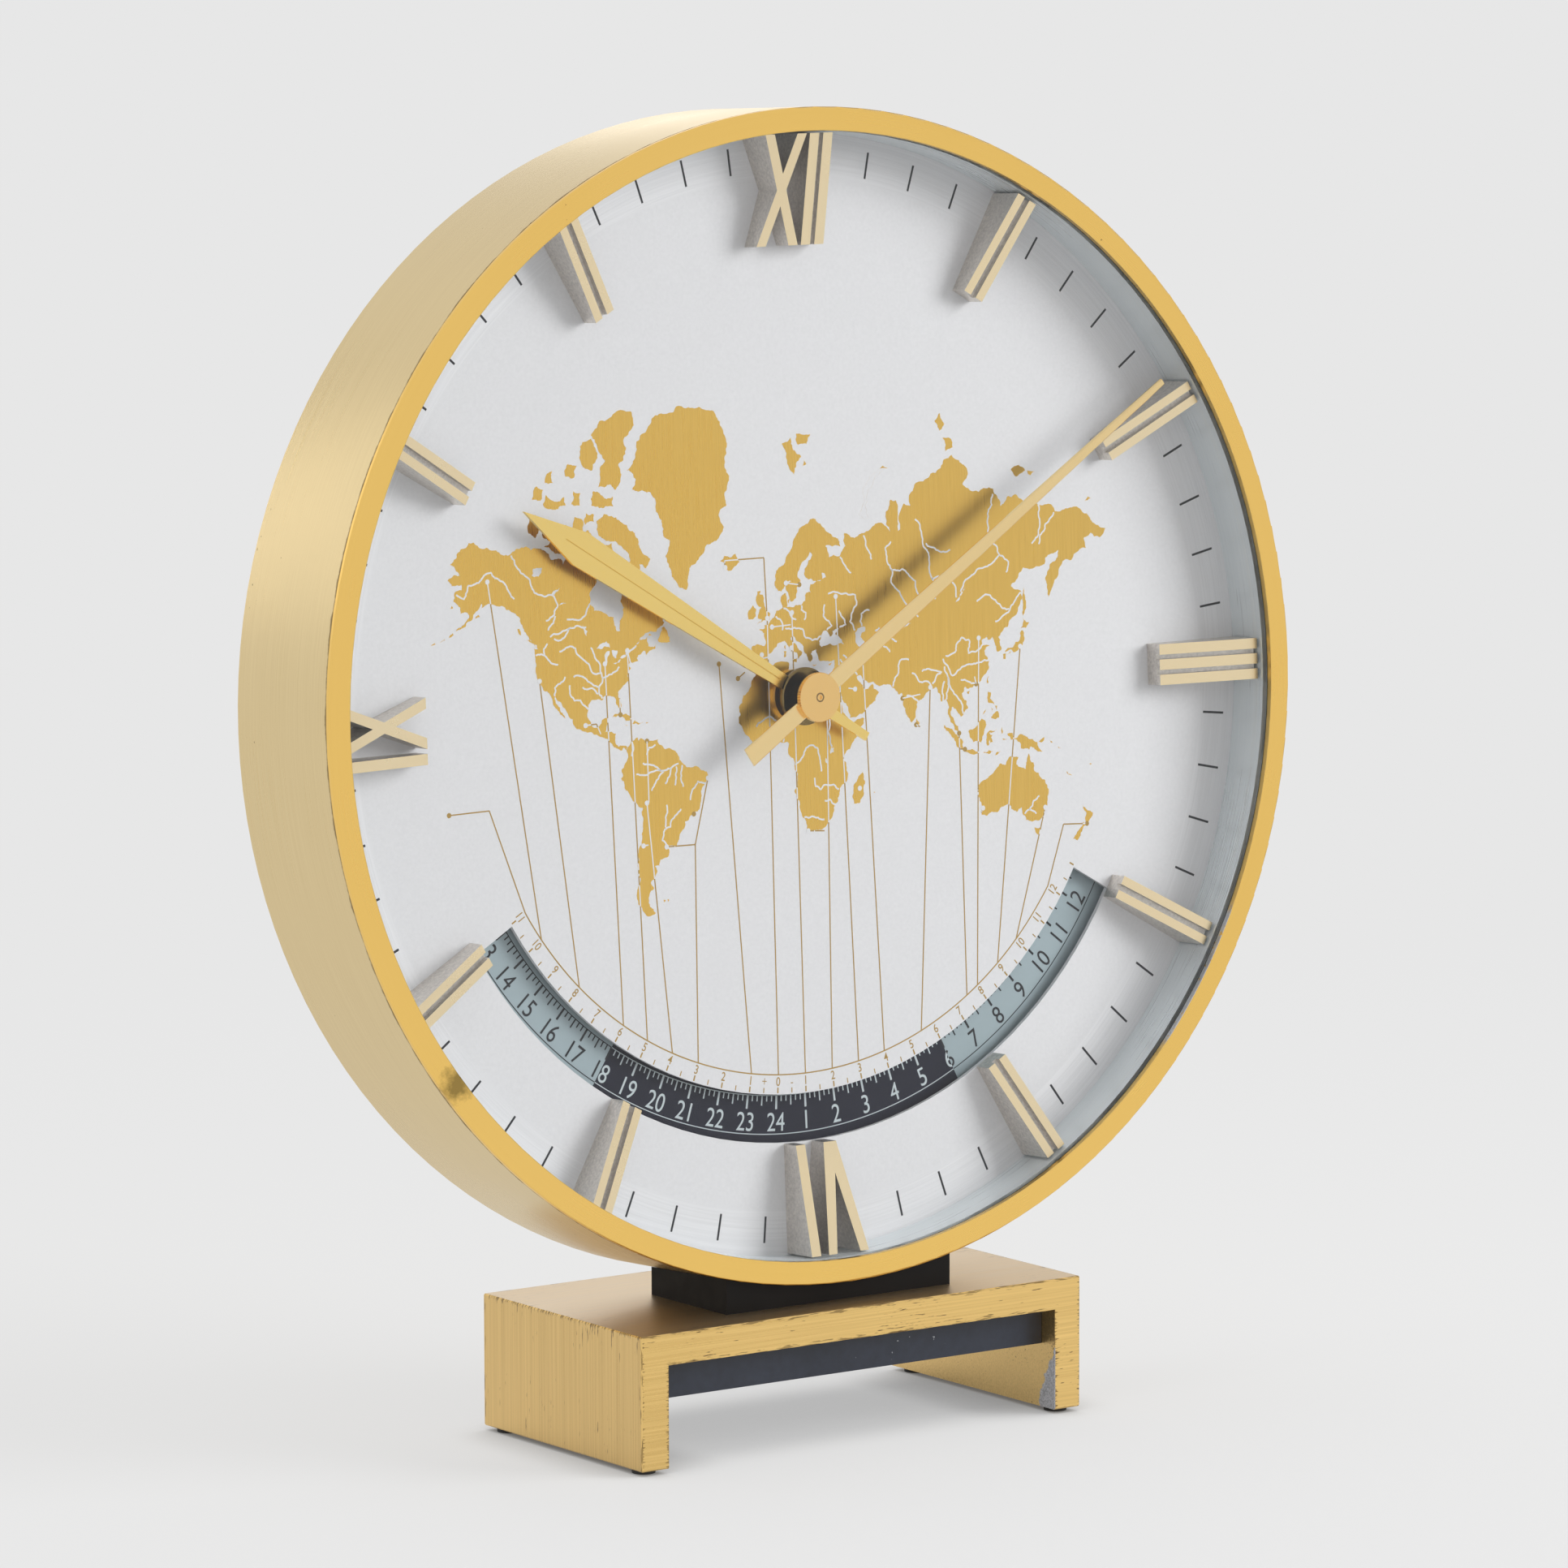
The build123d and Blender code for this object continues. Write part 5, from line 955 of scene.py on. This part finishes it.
def brushed_metal(name, place_of, pale, deep, rough, grain=0.00002, contrast=0.7):
    """Metal with fine parallel marks and slow changes of tone."""
    recipe = Recipe(name, Metallic=1.0)
    fine = recipe.noise(place_of(recipe), 1.0, 3.0, 0.6)
    slow = recipe.mottle(14.0, 3.0)
    marks = recipe.spread(fine, *NOISE_SPAN, (1 - contrast) / 2, (1 + contrast) / 2)
    tone = recipe.plus(marks, recipe.spread(slow, *NOISE_SPAN, -0.15, 0.15))
    recipe.colour = recipe.blend(tone, deep, pale)
    fine_rough = recipe.spread(fine, *NOISE_SPAN, rough - 0.08 * contrast, rough + 0.10 * contrast)
    recipe.roughness = recipe.plus(fine_rough, recipe.spread(slow, 0.35, 0.7, -0.03, 0.05))
    recipe.set(Base_Color=recipe.colour, Roughness=recipe.roughness)
    recipe.bump(fine, grain)
    return recipe


def plain(name, colour, rough, speck, scale=900.0, depth=0.00002, metallic=0.0):
    """Paint, plastic or rubber with a fine grain and a slow change of tone."""
    recipe = Recipe(name, Metallic=metallic)
    fine = recipe.mottle(scale, 4.0)
    slow = recipe.mottle(40.0, 2.0)
    tone = recipe.spread(recipe.times(recipe.plus(fine, slow), 0.5), 0.35, 0.65)
    recipe.colour = recipe.blend(tone, scaled(colour, 1 - speck), scaled(colour, 1 + speck, 0.01 * speck))
    recipe.roughness = recipe.spread(fine, *NOISE_SPAN, rough - 0.06, rough + 0.08)
    recipe.set(Base_Color=recipe.colour, Roughness=recipe.roughness)
    recipe.bump(fine, depth)
    return recipe


def stain(recipe, amount, tone, rough=0.6):
    """Lays a dull tone over a metal where amount is above 0, for real stains and for painted shade and
    reflection alike.
    """
    recipe.colour = recipe.blend(amount, recipe.colour, tone)
    change = recipe.minus(rough, recipe.roughness)
    recipe.roughness = recipe.times_plus(change, amount, recipe.roughness)
    recipe.set(Base_Color=recipe.colour, Roughness=recipe.roughness)


def pits(recipe, fineness, share, threshold, tone=PATINA):
    """Small spots that gather in places."""
    spots = recipe.mottle(fineness, 2.0, 0.5)
    where = recipe.spread(recipe.mottle(PIT_CLUSTER, 2.0), 0.45, 0.65, -0.08, 0.06)
    level = recipe.plus(spots, where)
    stain(recipe, recipe.spread(level, threshold, threshold + PIT_EDGE, 0.0, share), tone)


def case_brass():
    """Champagne brass, turned, with pits, and a brown deposit with painted shade along the joint with the
    bezel.
    """
    recipe = brushed_metal("case_brass", turned(25.0, 3600.0), BAND_PALE, BAND_DEEP, 0.30, 0.000008, 0.4)
    pits(recipe, 800.0, 0.75, 0.77)
    # A brown deposit, with painted shade, in the crease along the band's top where the bezel sits.
    depth = recipe.split(recipe.head_place())[2]
    level = recipe.plus(depth, recipe.ragged(160.0, 4.0, 0.0016))
    stain(recipe, recipe.spread(level, *JOINT, 0.0, 0.75), JOINT_DEPOSIT_AND_SHADE)
    return recipe


def bezel_gold():
    """Satin gold with a few pits, one worn dark patch low on the left, and a painted shade in the bore beside
    the glass, darker deeper in, with chalky residue over one part of it.
    """
    recipe = brushed_metal("bezel_gold", turned(20.0, 2400.0), BEZEL_PALE, BEZEL_DEEP, 0.27, 0.0, 0.1)
    pits(recipe, 600.0, 0.7, 0.80)
    x, y, z = recipe.split(recipe.head_place())
    speck = recipe.mottle(900.0, 3.0, 0.7)
    bore = recipe.fade(recipe.times_plus(speck, 0.0003, recipe.radius(x, y)), *BORE)
    # Painted shade in the bore, stronger deeper down; the chalky residue over part of it is real.
    shade = recipe.spread(recipe.times_plus(speck, 0.0004, z), *BORE_DEPTH, 0.55, 0.25)
    turn = recipe.maths("ARCTAN2", x, recipe.times(y, -1.0))
    rising = recipe.spread(turn, RESIDUE[0], RESIDUE[0] + RESIDUE_FADE)
    falling = recipe.fade(turn, RESIDUE[1], RESIDUE[1] + RESIDUE_FADE)
    chalky = recipe.times(recipe.times(rising, falling), recipe.spread(speck, 0.36, 0.42))
    share = recipe.times(bore, recipe.greater(chalky, shade))
    stain(recipe, share, recipe.blend(chalky, BORE_SHADE_TONE, RESIDUE_TONE), 0.5)
    away = recipe.measure("DISTANCE", recipe.head_place(), PATCH_PLACE)
    patch = recipe.fade(recipe.plus(away, recipe.ragged(420.0, 5.0, 0.006)), *PATCH_EDGE, 0.7)
    stain(recipe, patch, PATCH_TONE, 0.45)
    return recipe


def marker_gold():
    """Satin pale gold on the faces of the hour marks, grey on their sides and in their grooves."""
    recipe = brushed_metal("marker_gold", polished, MARK_PALE, MARK_DEEP, 0.27, 0.0, 0.04)
    x, y, z = recipe.split(recipe.head_place())
    top = recipe.times_plus(recipe.radius(x, y), MARK_SLOPE, MARK_START)
    sunk = recipe.below(recipe.minus(z, top), MARK_GROOVE)
    side = recipe.greater(recipe.below(recipe.facing(), MARK_SIDE), sunk)
    grey = recipe.blend(recipe.spread(recipe.mottle(1500.0, 3.0, 0.7), *NOISE_SPAN), *MARK_GREYS)
    recipe.set(Base_Color=recipe.blend(side, recipe.colour, grey))
    recipe.set(Roughness=recipe.times_plus(side, 0.22, recipe.roughness))
    return recipe


def hand_gold():
    """Polished gold, dark underneath, in the hour hand's groove and on the hub, and redder on the cap."""
    recipe = brushed_metal("hand_gold", polished, HAND_PALE, HAND_DEEP, 0.20, 0.0, 0.15)
    x, y, z = recipe.split(recipe.head_place())
    facing = recipe.facing()
    under = recipe.fade(facing, -0.7, -0.5, 0.95)
    on_floor = recipe.below(recipe.gap(z, GROOVE_FLOOR), SAME_LEVEL)
    groove = recipe.times(on_floor, recipe.spread(facing, 0.6, 0.9, 0.0, 0.30))
    stain(recipe, recipe.greater(under, groove), HAND_SHADE, 0.4)
    lower_hand = recipe.times(recipe.below(z, HOUR_HAND_TOP), 0.6)
    recipe.colour = recipe.blend(lower_hand, recipe.colour, HOUR_HAND_TONE)
    radius = recipe.radius(x, y)
    hub = recipe.times(recipe.fade(radius, *HUB_RADIUS), recipe.fade(z, *HUB_TOP, 0.82))
    stain(recipe, hub, HUB_TONE, 0.25)
    high = recipe.above(z, CAP_BASE)
    cap = recipe.times(recipe.fade(radius, *CAP_RADIUS), high)
    recipe.colour = recipe.blend(recipe.times(cap, 0.55), recipe.colour, CAP_TONE)
    ring = recipe.fade(recipe.gap(radius, CAP_RING), *CAP_RING_EDGE, 0.75)
    stain(recipe, recipe.times(ring, high), PATINA, 0.4)
    return recipe


def stand_edge(recipe, x, y, z):
    """How far a point of the stand is from its nearest edge, those of the slot under the bridge too."""
    from_side = recipe.minus(STAND_HALF[0], recipe.size(x))
    from_front = recipe.minus(STAND_HALF[1], recipe.size(y))
    from_top = recipe.minus(STAND_TOP, z)
    first = recipe.lesser(from_side, from_front)
    last = recipe.greater(from_side, from_front)
    outer = recipe.greater(first, recipe.lesser(last, from_top))
    over = recipe.minus(z, SLOT_TOP)
    past_end = recipe.minus(recipe.size(x), SLOT_HALF)
    level_edge = recipe.greater(recipe.size(over), past_end)
    upright_edge = recipe.greater(recipe.size(past_end), over)
    slot = recipe.greater(recipe.lesser(level_edge, upright_edge), from_front)
    return recipe.lesser(outer, slot)


def stand_smear(recipe, x, y, z):
    """Where the grey smear lies, on the slot's right wall near the front."""
    behind = recipe.plus(recipe.minus(y, -STAND_HALF[1]), recipe.ragged(420.0, 5.0, 0.004))
    reach = recipe.spread(z, *SMEAR_RISE, *SMEAR_REACH)
    beside = recipe.spread(recipe.minus(reach, behind), 0.0, 0.0003)
    on_wall = recipe.fade(recipe.gap(x, SLOT_HALF), 0.0001, 0.0002)
    low = recipe.fade(z, SMEAR_RISE[1], SMEAR_RISE[1] + 0.0004, 0.95)
    return recipe.times(recipe.times(beside, on_wall), low)


def stand_brass():
    """Brushed brass with dark nicks along the marks of brushing, brown edges, one grey smear, dust with a
    painted reflection on its top, and painted shade on its ends.
    """
    recipe = brushed_metal("stand_brass", brushed(14.0, 2300.0), STAND_PALE, STAND_DEEP, 0.30, 0.00002, 0.9)
    pits(recipe, 900.0, 0.7, 0.79)
    place = recipe.split(recipe.object_place())
    edge = stand_edge(recipe, *place)
    nicks = recipe.noise(brushed(230.0, 2300.0)(recipe), 1.0, 2.0, 0.6)
    near = recipe.fade(edge, 0.0, 0.005, 0.075)
    clumps = recipe.spread(recipe.mottle(38.0, 2.0), 0.42, 0.66, -0.10, 0.06)
    worn_leg = recipe.spread(place[0], *WORN_LEG, 0.0, 0.035)
    level = recipe.plus(recipe.plus(nicks, near), recipe.plus(clumps, worn_leg))
    stain(recipe, recipe.spread(level, 0.70, 0.75, 0.0, 0.85), NICK_TONE)
    rim = recipe.times_plus(nicks, -0.005, edge)
    stain(recipe, recipe.fade(rim, -0.0025, -0.0022, 0.65), RIM_TONE)
    sideways, _, up = recipe.split(recipe.normal())
    # Dust, with a painted reflection, dulls the faces that look up.
    stain(recipe, recipe.times(recipe.spread(up, 0.7, 0.9), 0.65), TOP_DUST_AND_REFLECTION, 0.5)
    # Painted shade, in a brown tone, on the faces that look sideways: the ends and the legs' inner faces.
    stain(recipe, recipe.times(recipe.spread(recipe.size(sideways), 0.7, 0.9), 0.2), END_FACE_SHADE, 0.45)
    smear = stand_smear(recipe, *place)
    stain(recipe, smear, recipe.blend(recipe.spread(nicks, 0.35, 0.65), *SMEAR_TONES), 0.5)
    return recipe


# What the silver of the dial and the silver print on the map have in common.

SILVER = (DIAL_TONE, 0.42, 0.012, 500.0, 0.000002)


def dial_silver():
    """Fine silver grain, with a brighter, finely turned margin under the minute track."""
    recipe = plain("dial_silver", *SILVER)
    x, y, z = recipe.split(recipe.head_place())
    margin = recipe.spread(recipe.radius(x, y), *MARGIN)
    lines = recipe.spread(recipe.noise(recipe.turned_place(30.0, 2500.0), 1.0, 2.0), *NOISE_SPAN)
    grain = recipe.spread(recipe.mottle(1400.0, 3.0, 0.6), *NOISE_SPAN)
    inner = recipe.blend(grain, scaled(DIAL_TONE, 0.965), scaled(DIAL_TONE, 1.02))
    outer = recipe.blend(lines, scaled(DIAL_TONE, 0.98), scaled(DIAL_TONE, 1.07))
    recipe.set(Base_Color=recipe.blend(margin, inner, outer))
    return recipe


def black_iron():
    """Blue-black paint with a few tiny bare specks."""
    recipe = plain("black_iron", (0.017, 0.021, 0.033), 0.42, 0.25, 400.0)
    pits(recipe, 620.0, 0.8, 0.79, CHIP_TONE)
    return recipe


def clear_glass():
    """A pane that lets the lamps through."""
    recipe = Recipe("clear_glass", Base_Color=(0.99, 0.995, 0.995, 1), Roughness=0.0, IOR=1.3)
    recipe.set(Transmission_Weight=1.0)
    recipe.bump(recipe.mottle(45.0, 4.0), 0.000004, 0.15)
    shadow = recipe.node("LightPath").outputs["Is Shadow Ray"]
    open_part = recipe.out("BsdfTransparent", (0.965, 0.97, 0.97, 1))
    mix = recipe.out("MixShader", shadow, recipe.shader.outputs[0], open_part)
    recipe.feed(recipe.tree.nodes["Material Output"].inputs[0], mix)
    return recipe


# Plain metals and paints: what brushed_metal and plain take after the name.

METALS = {
    "wall_aluminium": (turned(25.0, 2200.0), (0.92, 0.97, 0.98), (0.80, 0.86, 0.89), 0.30, 0.00001, 0.5),
    "plate_aluminium": (straight(60, 1800, 1800), (0.75, 0.75, 0.74), (0.62, 0.62, 0.61), 0.35),
    "cover_brass_tone": (turned(25.0, 1400.0), BAND_PALE, BAND_DEEP, 0.36),
    "gear_brass": (turned(60.0, 2000.0), (0.80, 0.60, 0.28), (0.66, 0.46, 0.18), 0.30),
    "steel": (straight(1200, 1200, 1200), (0.62, 0.62, 0.62), (0.5, 0.5, 0.5), 0.25),
    "coil_wire": (straight(200, 4000, 4000), (0.75, 0.32, 0.14), (0.5, 0.2, 0.08), 0.35),
    "battery_can": (straight(300, 900, 900), (0.55, 0.45, 0.25), (0.45, 0.36, 0.2), 0.35),
}
PAINTS = {
    "black_rubber": ((0.03, 0.03, 0.03), 0.7, 0.3),
    "black_paint": ((0.005, 0.004, 0.004), 0.62, 0.35, 300.0),
    "inner_plastic": ((0.12, 0.12, 0.12), 0.5, 0.1),
    "housing_plastic": ((0.03, 0.03, 0.032), 0.45, 0.2, 1600.0, 0.00004),
    "board_resin": ((0.05, 0.16, 0.07), 0.4, 0.15),
    "chip_resin": ((0.02, 0.02, 0.02), 0.45, 0.2),
    "ring_print": (DAY_TONE, 0.45, 0.03, 700.0, 0.000003),
}


def build_materials():
    made = {name: brushed_metal(name, *row) for name, row in METALS.items()}
    made.update({name: plain(name, *row) for name, row in PAINTS.items()})
    made.update(
        stand_brass=stand_brass(), case_brass=case_brass(), bezel_gold=bezel_gold(),
        marker_gold=marker_gold(), hand_gold=hand_gold(), dial_silver=dial_silver(),
        black_iron=black_iron(), clear_glass=clear_glass(),
    )
    made["wall_aluminium"].set(Metallic=0.35)
    made["black_paint"].set(Specular_IOR_Level=0.3)
    return {name: recipe.material for name, recipe in made.items()}


def print_materials():
    combed = upright_on_dial(3000.0, 60.0)
    made = {
        "land": brushed_metal("map_gold", combed, LAND_PALE, LAND_DEEP, 0.30, 0.000006),
        "ink": plain("ink", INK, 0.5, 0.2, 900.0, 0.000003),
        "line": plain("line_gold", LINE_GOLD, 0.45, 0.05, 900.0, 0.000003, 0.3),
        "silver": plain("silver_print", *SILVER),
        "night": plain("night_print", NIGHT_TONE, 0.55, 0.03, 900.0, 0.000001),
        "pale_ink": plain("pale_ink", PALE_INK, 0.45, 0.03, 900.0, 0.000003),
    }
    made["night"].set(Specular_IOR_Level=0.2)
    return {name: recipe.material for name, recipe in made.items()}


def dress(node, material):
    """Gives every material slot of a CAD node this material."""
    data = frame["nodes"][node].data
    if not data.materials:
        data.materials.append(material)
    for i in range(len(data.materials)):
        data.materials[i] = material


materials = build_materials()
prints = print_materials()
for row in frame["record"]["subparts"]:
    dress(row["node"], materials[row["material_slot"]])


# The print on the dial


def build_map():
    rng = random.Random(SEED)
    lands = [coast(row, rng) for row in LAND.values()]
    waters = [coast(row, rng) for row in WATER.values()]
    rivers = [river(row, rng) for row in RIVERS]
    on_dial("map_land", lands, PRINT, "land")
    on_land("map_waters", waters, 0)
    on_land("map_rivers", rivers, 1)
    return lands


def spot(entry):
    """A city's dot or a bend's own point, on the dial."""
    return on_map(*CITIES[entry]) if isinstance(entry, str) else entry


def build_city_lines(lands):
    paths = [[spot(e) for e in stops] + [on_circle(ARC_LINE, angle)] for angle, stops in CITY_LINES]
    paths += [[spot(e) for e in stops] for stops in LINKS]
    parts = [split_by(lands, *ends) for path in paths for ends in zip(path, path[1:])]
    at_sea = [strip(line, LINE_WIDTH) for _, off in parts for line in off]
    ashore = [strip(line, LINE_WIDTH) for on, _ in parts for line in on]
    on_dial("city_lines_sea", at_sea, PRINT + LAYER)
    on_land("city_lines_land", ashore, 2)


def build_dots(lands):
    points = [spot(name) for name in CITIES]
    ashore = [any(inside(point, land) for land in lands) for point in points]
    on_land("city_dots_land", [dot(point) for point, dry in zip(points, ashore) if dry], 3)
    on_dial("city_dots_sea", [dot(point) for point, dry in zip(points, ashore) if not dry], PRINT + 2 * LAYER)


def build_minute_track():
    shapes = [spoke(TRACK_INNER, TRACK_OUTER, 6 * i, TRACK_WIDTH) for i in range(60) if i % 5]
    slabs("minute_track", "case", prints["ink"], shapes, 0, PRINT)


def build_offset_scale():
    """The hours east and west of the zero line, above the window."""
    starts = range(SCALE_START, SCALE_END + 1, SCALE_STEP)
    shapes = [strip(arc(ARC_LINE, SCALE_START, SCALE_END), LINE_WIDTH)]
    ticks = [*starts, SCALE_END + SCALE_STEP]
    shapes += [spoke(SCALE_INNER, SCALE_OUTER, angle, SCALE_TICK_WIDTH) for angle in ticks]
    halves = [start + SCALE_STEP / 2 for start in starts]
    shapes += [spoke(HALF_TICK_INNER, SCALE_OUTER, angle, HALF_TICK_WIDTH) for angle in halves]
    on_dial("hour_scale", shapes, PRINT)
    west = [(str(i), SCALE_FIGURE, -SCALE_STEP * (i + 1)) for i in range(12)]
    east = [(str(i), SCALE_FIGURE, SCALE_STEP * (i - 1)) for i in range(1, 13)]
    signs = [(text, SCALE_SIGN, angle) for text, angle in SIGNS]
    mesh = bmesh.new()
    for text, style, angle in west + east + signs:
        source = figure(text, *style)
        place_figure(mesh, source, SCALE_TEXT, angle, 0)
        source.free()
    piece("hour_scale_figures", "case", prints["line"], mesh)


# The print on the 24-hour ring


def ring_angle(hour):
    return RING_FIRST + HOUR_STEP * (hour - 1)


def is_night(hour):
    return hour % 24 > DUSK or hour % 24 < DAWN


def build_ring_print():
    turns = [24 * HOUR_STEP * i for i in range(RING_REPEATS)]
    ends = (ring_angle(DUSK), ring_angle(DAWN + 24))
    night = [sector(NIGHT_INNER, NIGHT_OUTER, ends[0] + t, ends[1] + t) for t in turns]
    slabs("ring_night", "world_time_disc", prints["night"], night, RING_FACE, RING_FACE + PRINT)
    for dark, half, material in ((False, "day", prints["ink"]), (True, "night", prints["pale_ink"])):
        marks = ring_marks(turns, dark)
        name = f"ring_{half}_marks"
        slabs(name, "world_time_disc", material, marks, RING_FACE, RING_FACE + OVERPRINT)
        ring_figures(f"ring_{half}_figures", turns, dark, material)


def ring_marks(turns, dark):
    """Lines and ticks of the day's or of the night's half."""
    shapes = []
    first = DUSK if dark else DAWN
    start = ring_angle(first)
    end = ring_angle(first + 12)
    for t in turns:
        for radius in (RING_INNER, RING_OUTER):
            shapes.append(strip(arc(radius, start + t, end + t), RING_LINE_WIDTH))
        for i in range(12 * 6 + 1):
            reach, width = HOUR_TICK if i % 6 == 0 else HALF_HOUR_TICK if i % 3 == 0 else TEN_MINUTE_TICK
            if 0 < i < 12 * 6 or not dark:
                shapes.append(spoke(RING_INNER, reach, start + t + HOUR_STEP / 6 * i, width))
    return shapes


def ring_figures(name, turns, dark, material):
    mesh = bmesh.new()
    for hour in range(1, 25):
        edge = hour in (DAWN, DUSK)
        if not edge and is_night(hour) != dark:
            continue
        source = figure(str(hour), *RING_FIGURE)
        if edge:
            halve(source, dark == (hour == DUSK))
        for t in turns:
            place_figure(mesh, source, RING_TEXT, ring_angle(hour) + t, RING_FACE)
        source.free()
    piece(name, "world_time_disc", material, mesh)


def halve(mesh, keep_right):
    """Keeps one half of a figure, so that it can change colour where night meets day."""
    geometry = mesh.verts[:] + mesh.edges[:] + mesh.faces[:]
    cut = bmesh.ops.bisect_plane(
        mesh, geom=geometry, plane_co=(0, 0, 0), plane_no=(1, 0, 0),
        clear_inner=keep_right, clear_outer=not keep_right,
    )
    bmesh.ops.holes_fill(mesh, edges=[e for e in cut["geom_cut"] if isinstance(e, bmesh.types.BMEdge)])


lands = build_map()
build_city_lines(lands)
build_dots(lands)
build_minute_track()
build_offset_scale()
build_ring_print()


# Floor, light and camera

BACKGROUND = 0.799
AMBIENT = 0.645
FLOOR_TONE = 0.80
FLOOR_RADIUS = 40.0
FLOOR_SIDES = 96
FLOOR_DROP = 0.00005
FLOOR_GLOW = 0.72
FLOOR_FADE = (0.10, 0.75)
# The painted contact shade in the floor's glow: ambient occlusion within CONTACT_REACH darkens it down to
# CONTACT_LEAST of the background.
CONTACT_SAMPLES = 12
CONTACT_REACH = 0.019
CONTACT_LEAST = 0.12
CONTACT_OPEN = 0.85

# The camera, from the photograph: turn, tilt and roll in degrees, place in metres, focal length in pixels.

YAW, PITCH, ROLL = [math.radians(degrees) for degrees in (-35.417, -7.515, -0.159)]
CAMERA_PLACE = (-1.008066, -1.418426, 0.368238)
FOCAL_PIXELS = 10106.97
PHOTO_PIXELS = 1932
SENSOR = 36.0
CLIP = (0.05, 100.0)
CLOCK_MIDDLE = (0, 0, 0.16)


def grey(level):
    return (level, level, level, 1)


def empty_graph(owner):
    owner.use_nodes = True
    owner.node_tree.nodes.clear()
    return Graph(owner.node_tree)


def seen_or_mirrored(graph):
    """1 for rays from the camera, and for those by way of metal or glass."""
    ray = graph.node("LightPath").outputs
    seen = graph.greater(ray["Is Camera Ray"], ray["Is Glossy Ray"])
    return graph.greater(seen, ray["Is Transmission Ray"])


def build_world():
    """Even light on everything, and plain background where it's seen."""
    world = bpy.data.worlds.new("studio")
    bpy.context.scene.world = world
    graph = empty_graph(world)
    lighting = graph.out("Background", grey(1.0), AMBIENT)
    seen = graph.out("Background", grey(BACKGROUND), 1.0)
    graph.node("OutputWorld", graph.out("MixShader", seen_or_mirrored(graph), lighting, seen))


def floor_material():
    """Takes the object's shadow near it in its diffuse share, and a painted contact shade from ambient
    occlusion in its glow; turns into plain background further out.
    """
    material = bpy.data.materials.new("floor")
    graph = empty_graph(material)
    hollow = graph.node("AmbientOcclusion", None, CONTACT_REACH, samples=CONTACT_SAMPLES).outputs["AO"]
    contact_shade = graph.spread(hollow, 0.0, CONTACT_OPEN, CONTACT_LEAST * BACKGROUND, BACKGROUND)
    far = graph.spread(graph.measure("LENGTH", graph.object_place()), *FLOOR_FADE, FLOOR_GLOW, 1.0)
    share = graph.times(seen_or_mirrored(graph), far)
    diffuse = graph.out("BsdfDiffuse", grey(FLOOR_TONE))
    graph.node("OutputMaterial", graph.out("MixShader", share, diffuse, graph.out("Emission", contact_shade)))
    return material


def build_floor():
    mesh = bmesh.new()
    bmesh.ops.create_circle(mesh, cap_ends=True, segments=FLOOR_SIDES, radius=FLOOR_RADIUS)
    data = bpy.data.meshes.new("floor")
    mesh.to_mesh(data)
    mesh.free()
    floor = new_object("floor", data)
    floor.location = (0, 0, -FLOOR_DROP)
    data.materials.append(floor_material())


def softbox(name, place, width, height, power, mirrored=True):
    """A lamp that looks at the clock. One that isn't mirrored doesn't show in metal or through glass."""
    lamp = bpy.data.lights.new(name, "AREA")
    lamp.shape = "RECTANGLE"
    lamp.size = width
    lamp.size_y = height
    lamp.energy = power
    holder = new_object(name, lamp)
    holder.location = place
    holder.rotation_mode = "QUATERNION"
    holder.rotation_quaternion = (Vector(CLOCK_MIDDLE) - Vector(place)).to_track_quat("-Z", "Y")
    holder.visible_glossy = mirrored
    holder.visible_transmission = mirrored


def build_camera():
    """The photograph's own viewpoint, solved from the rim, the dial and the stand."""
    flat = math.cos(PITCH)
    forward = Vector((-math.sin(YAW) * flat, math.cos(YAW) * flat, math.sin(PITCH)))
    right = Vector((math.cos(YAW), math.sin(YAW), 0))
    up = right.cross(forward)
    across = math.cos(ROLL) * right + math.sin(ROLL) * up
    upward = -math.sin(ROLL) * right + math.cos(ROLL) * up
    data = bpy.data.cameras.new("camera")
    data.sensor_width = SENSOR
    data.lens = FOCAL_PIXELS / PHOTO_PIXELS * SENSOR
    data.clip_start, data.clip_end = CLIP
    holder = new_object("camera", data)
    rotation = Matrix((across, upward, -forward)).transposed().to_4x4()
    holder.matrix_world = Matrix.Translation(CAMERA_PLACE) @ rotation
    bpy.context.scene.camera = holder


bpy.context.scene.view_settings.view_transform = "Standard"
build_world()
build_floor()
softbox("key", (1.35, -1.15, 0.75), 1.0, 1.0, 28.0, mirrored=False)
softbox("left_stripe", (-0.92, 1.6, 0.76), 0.10, 0.9, 0.55)
softbox("back_top", (0.98, 1.62, 0.62), 0.7, 0.45, 0.9)
softbox("overhead", (-0.2, 0.2, 1.7), 1.2, 1.2, 7.0, mirrored=False)
build_camera()
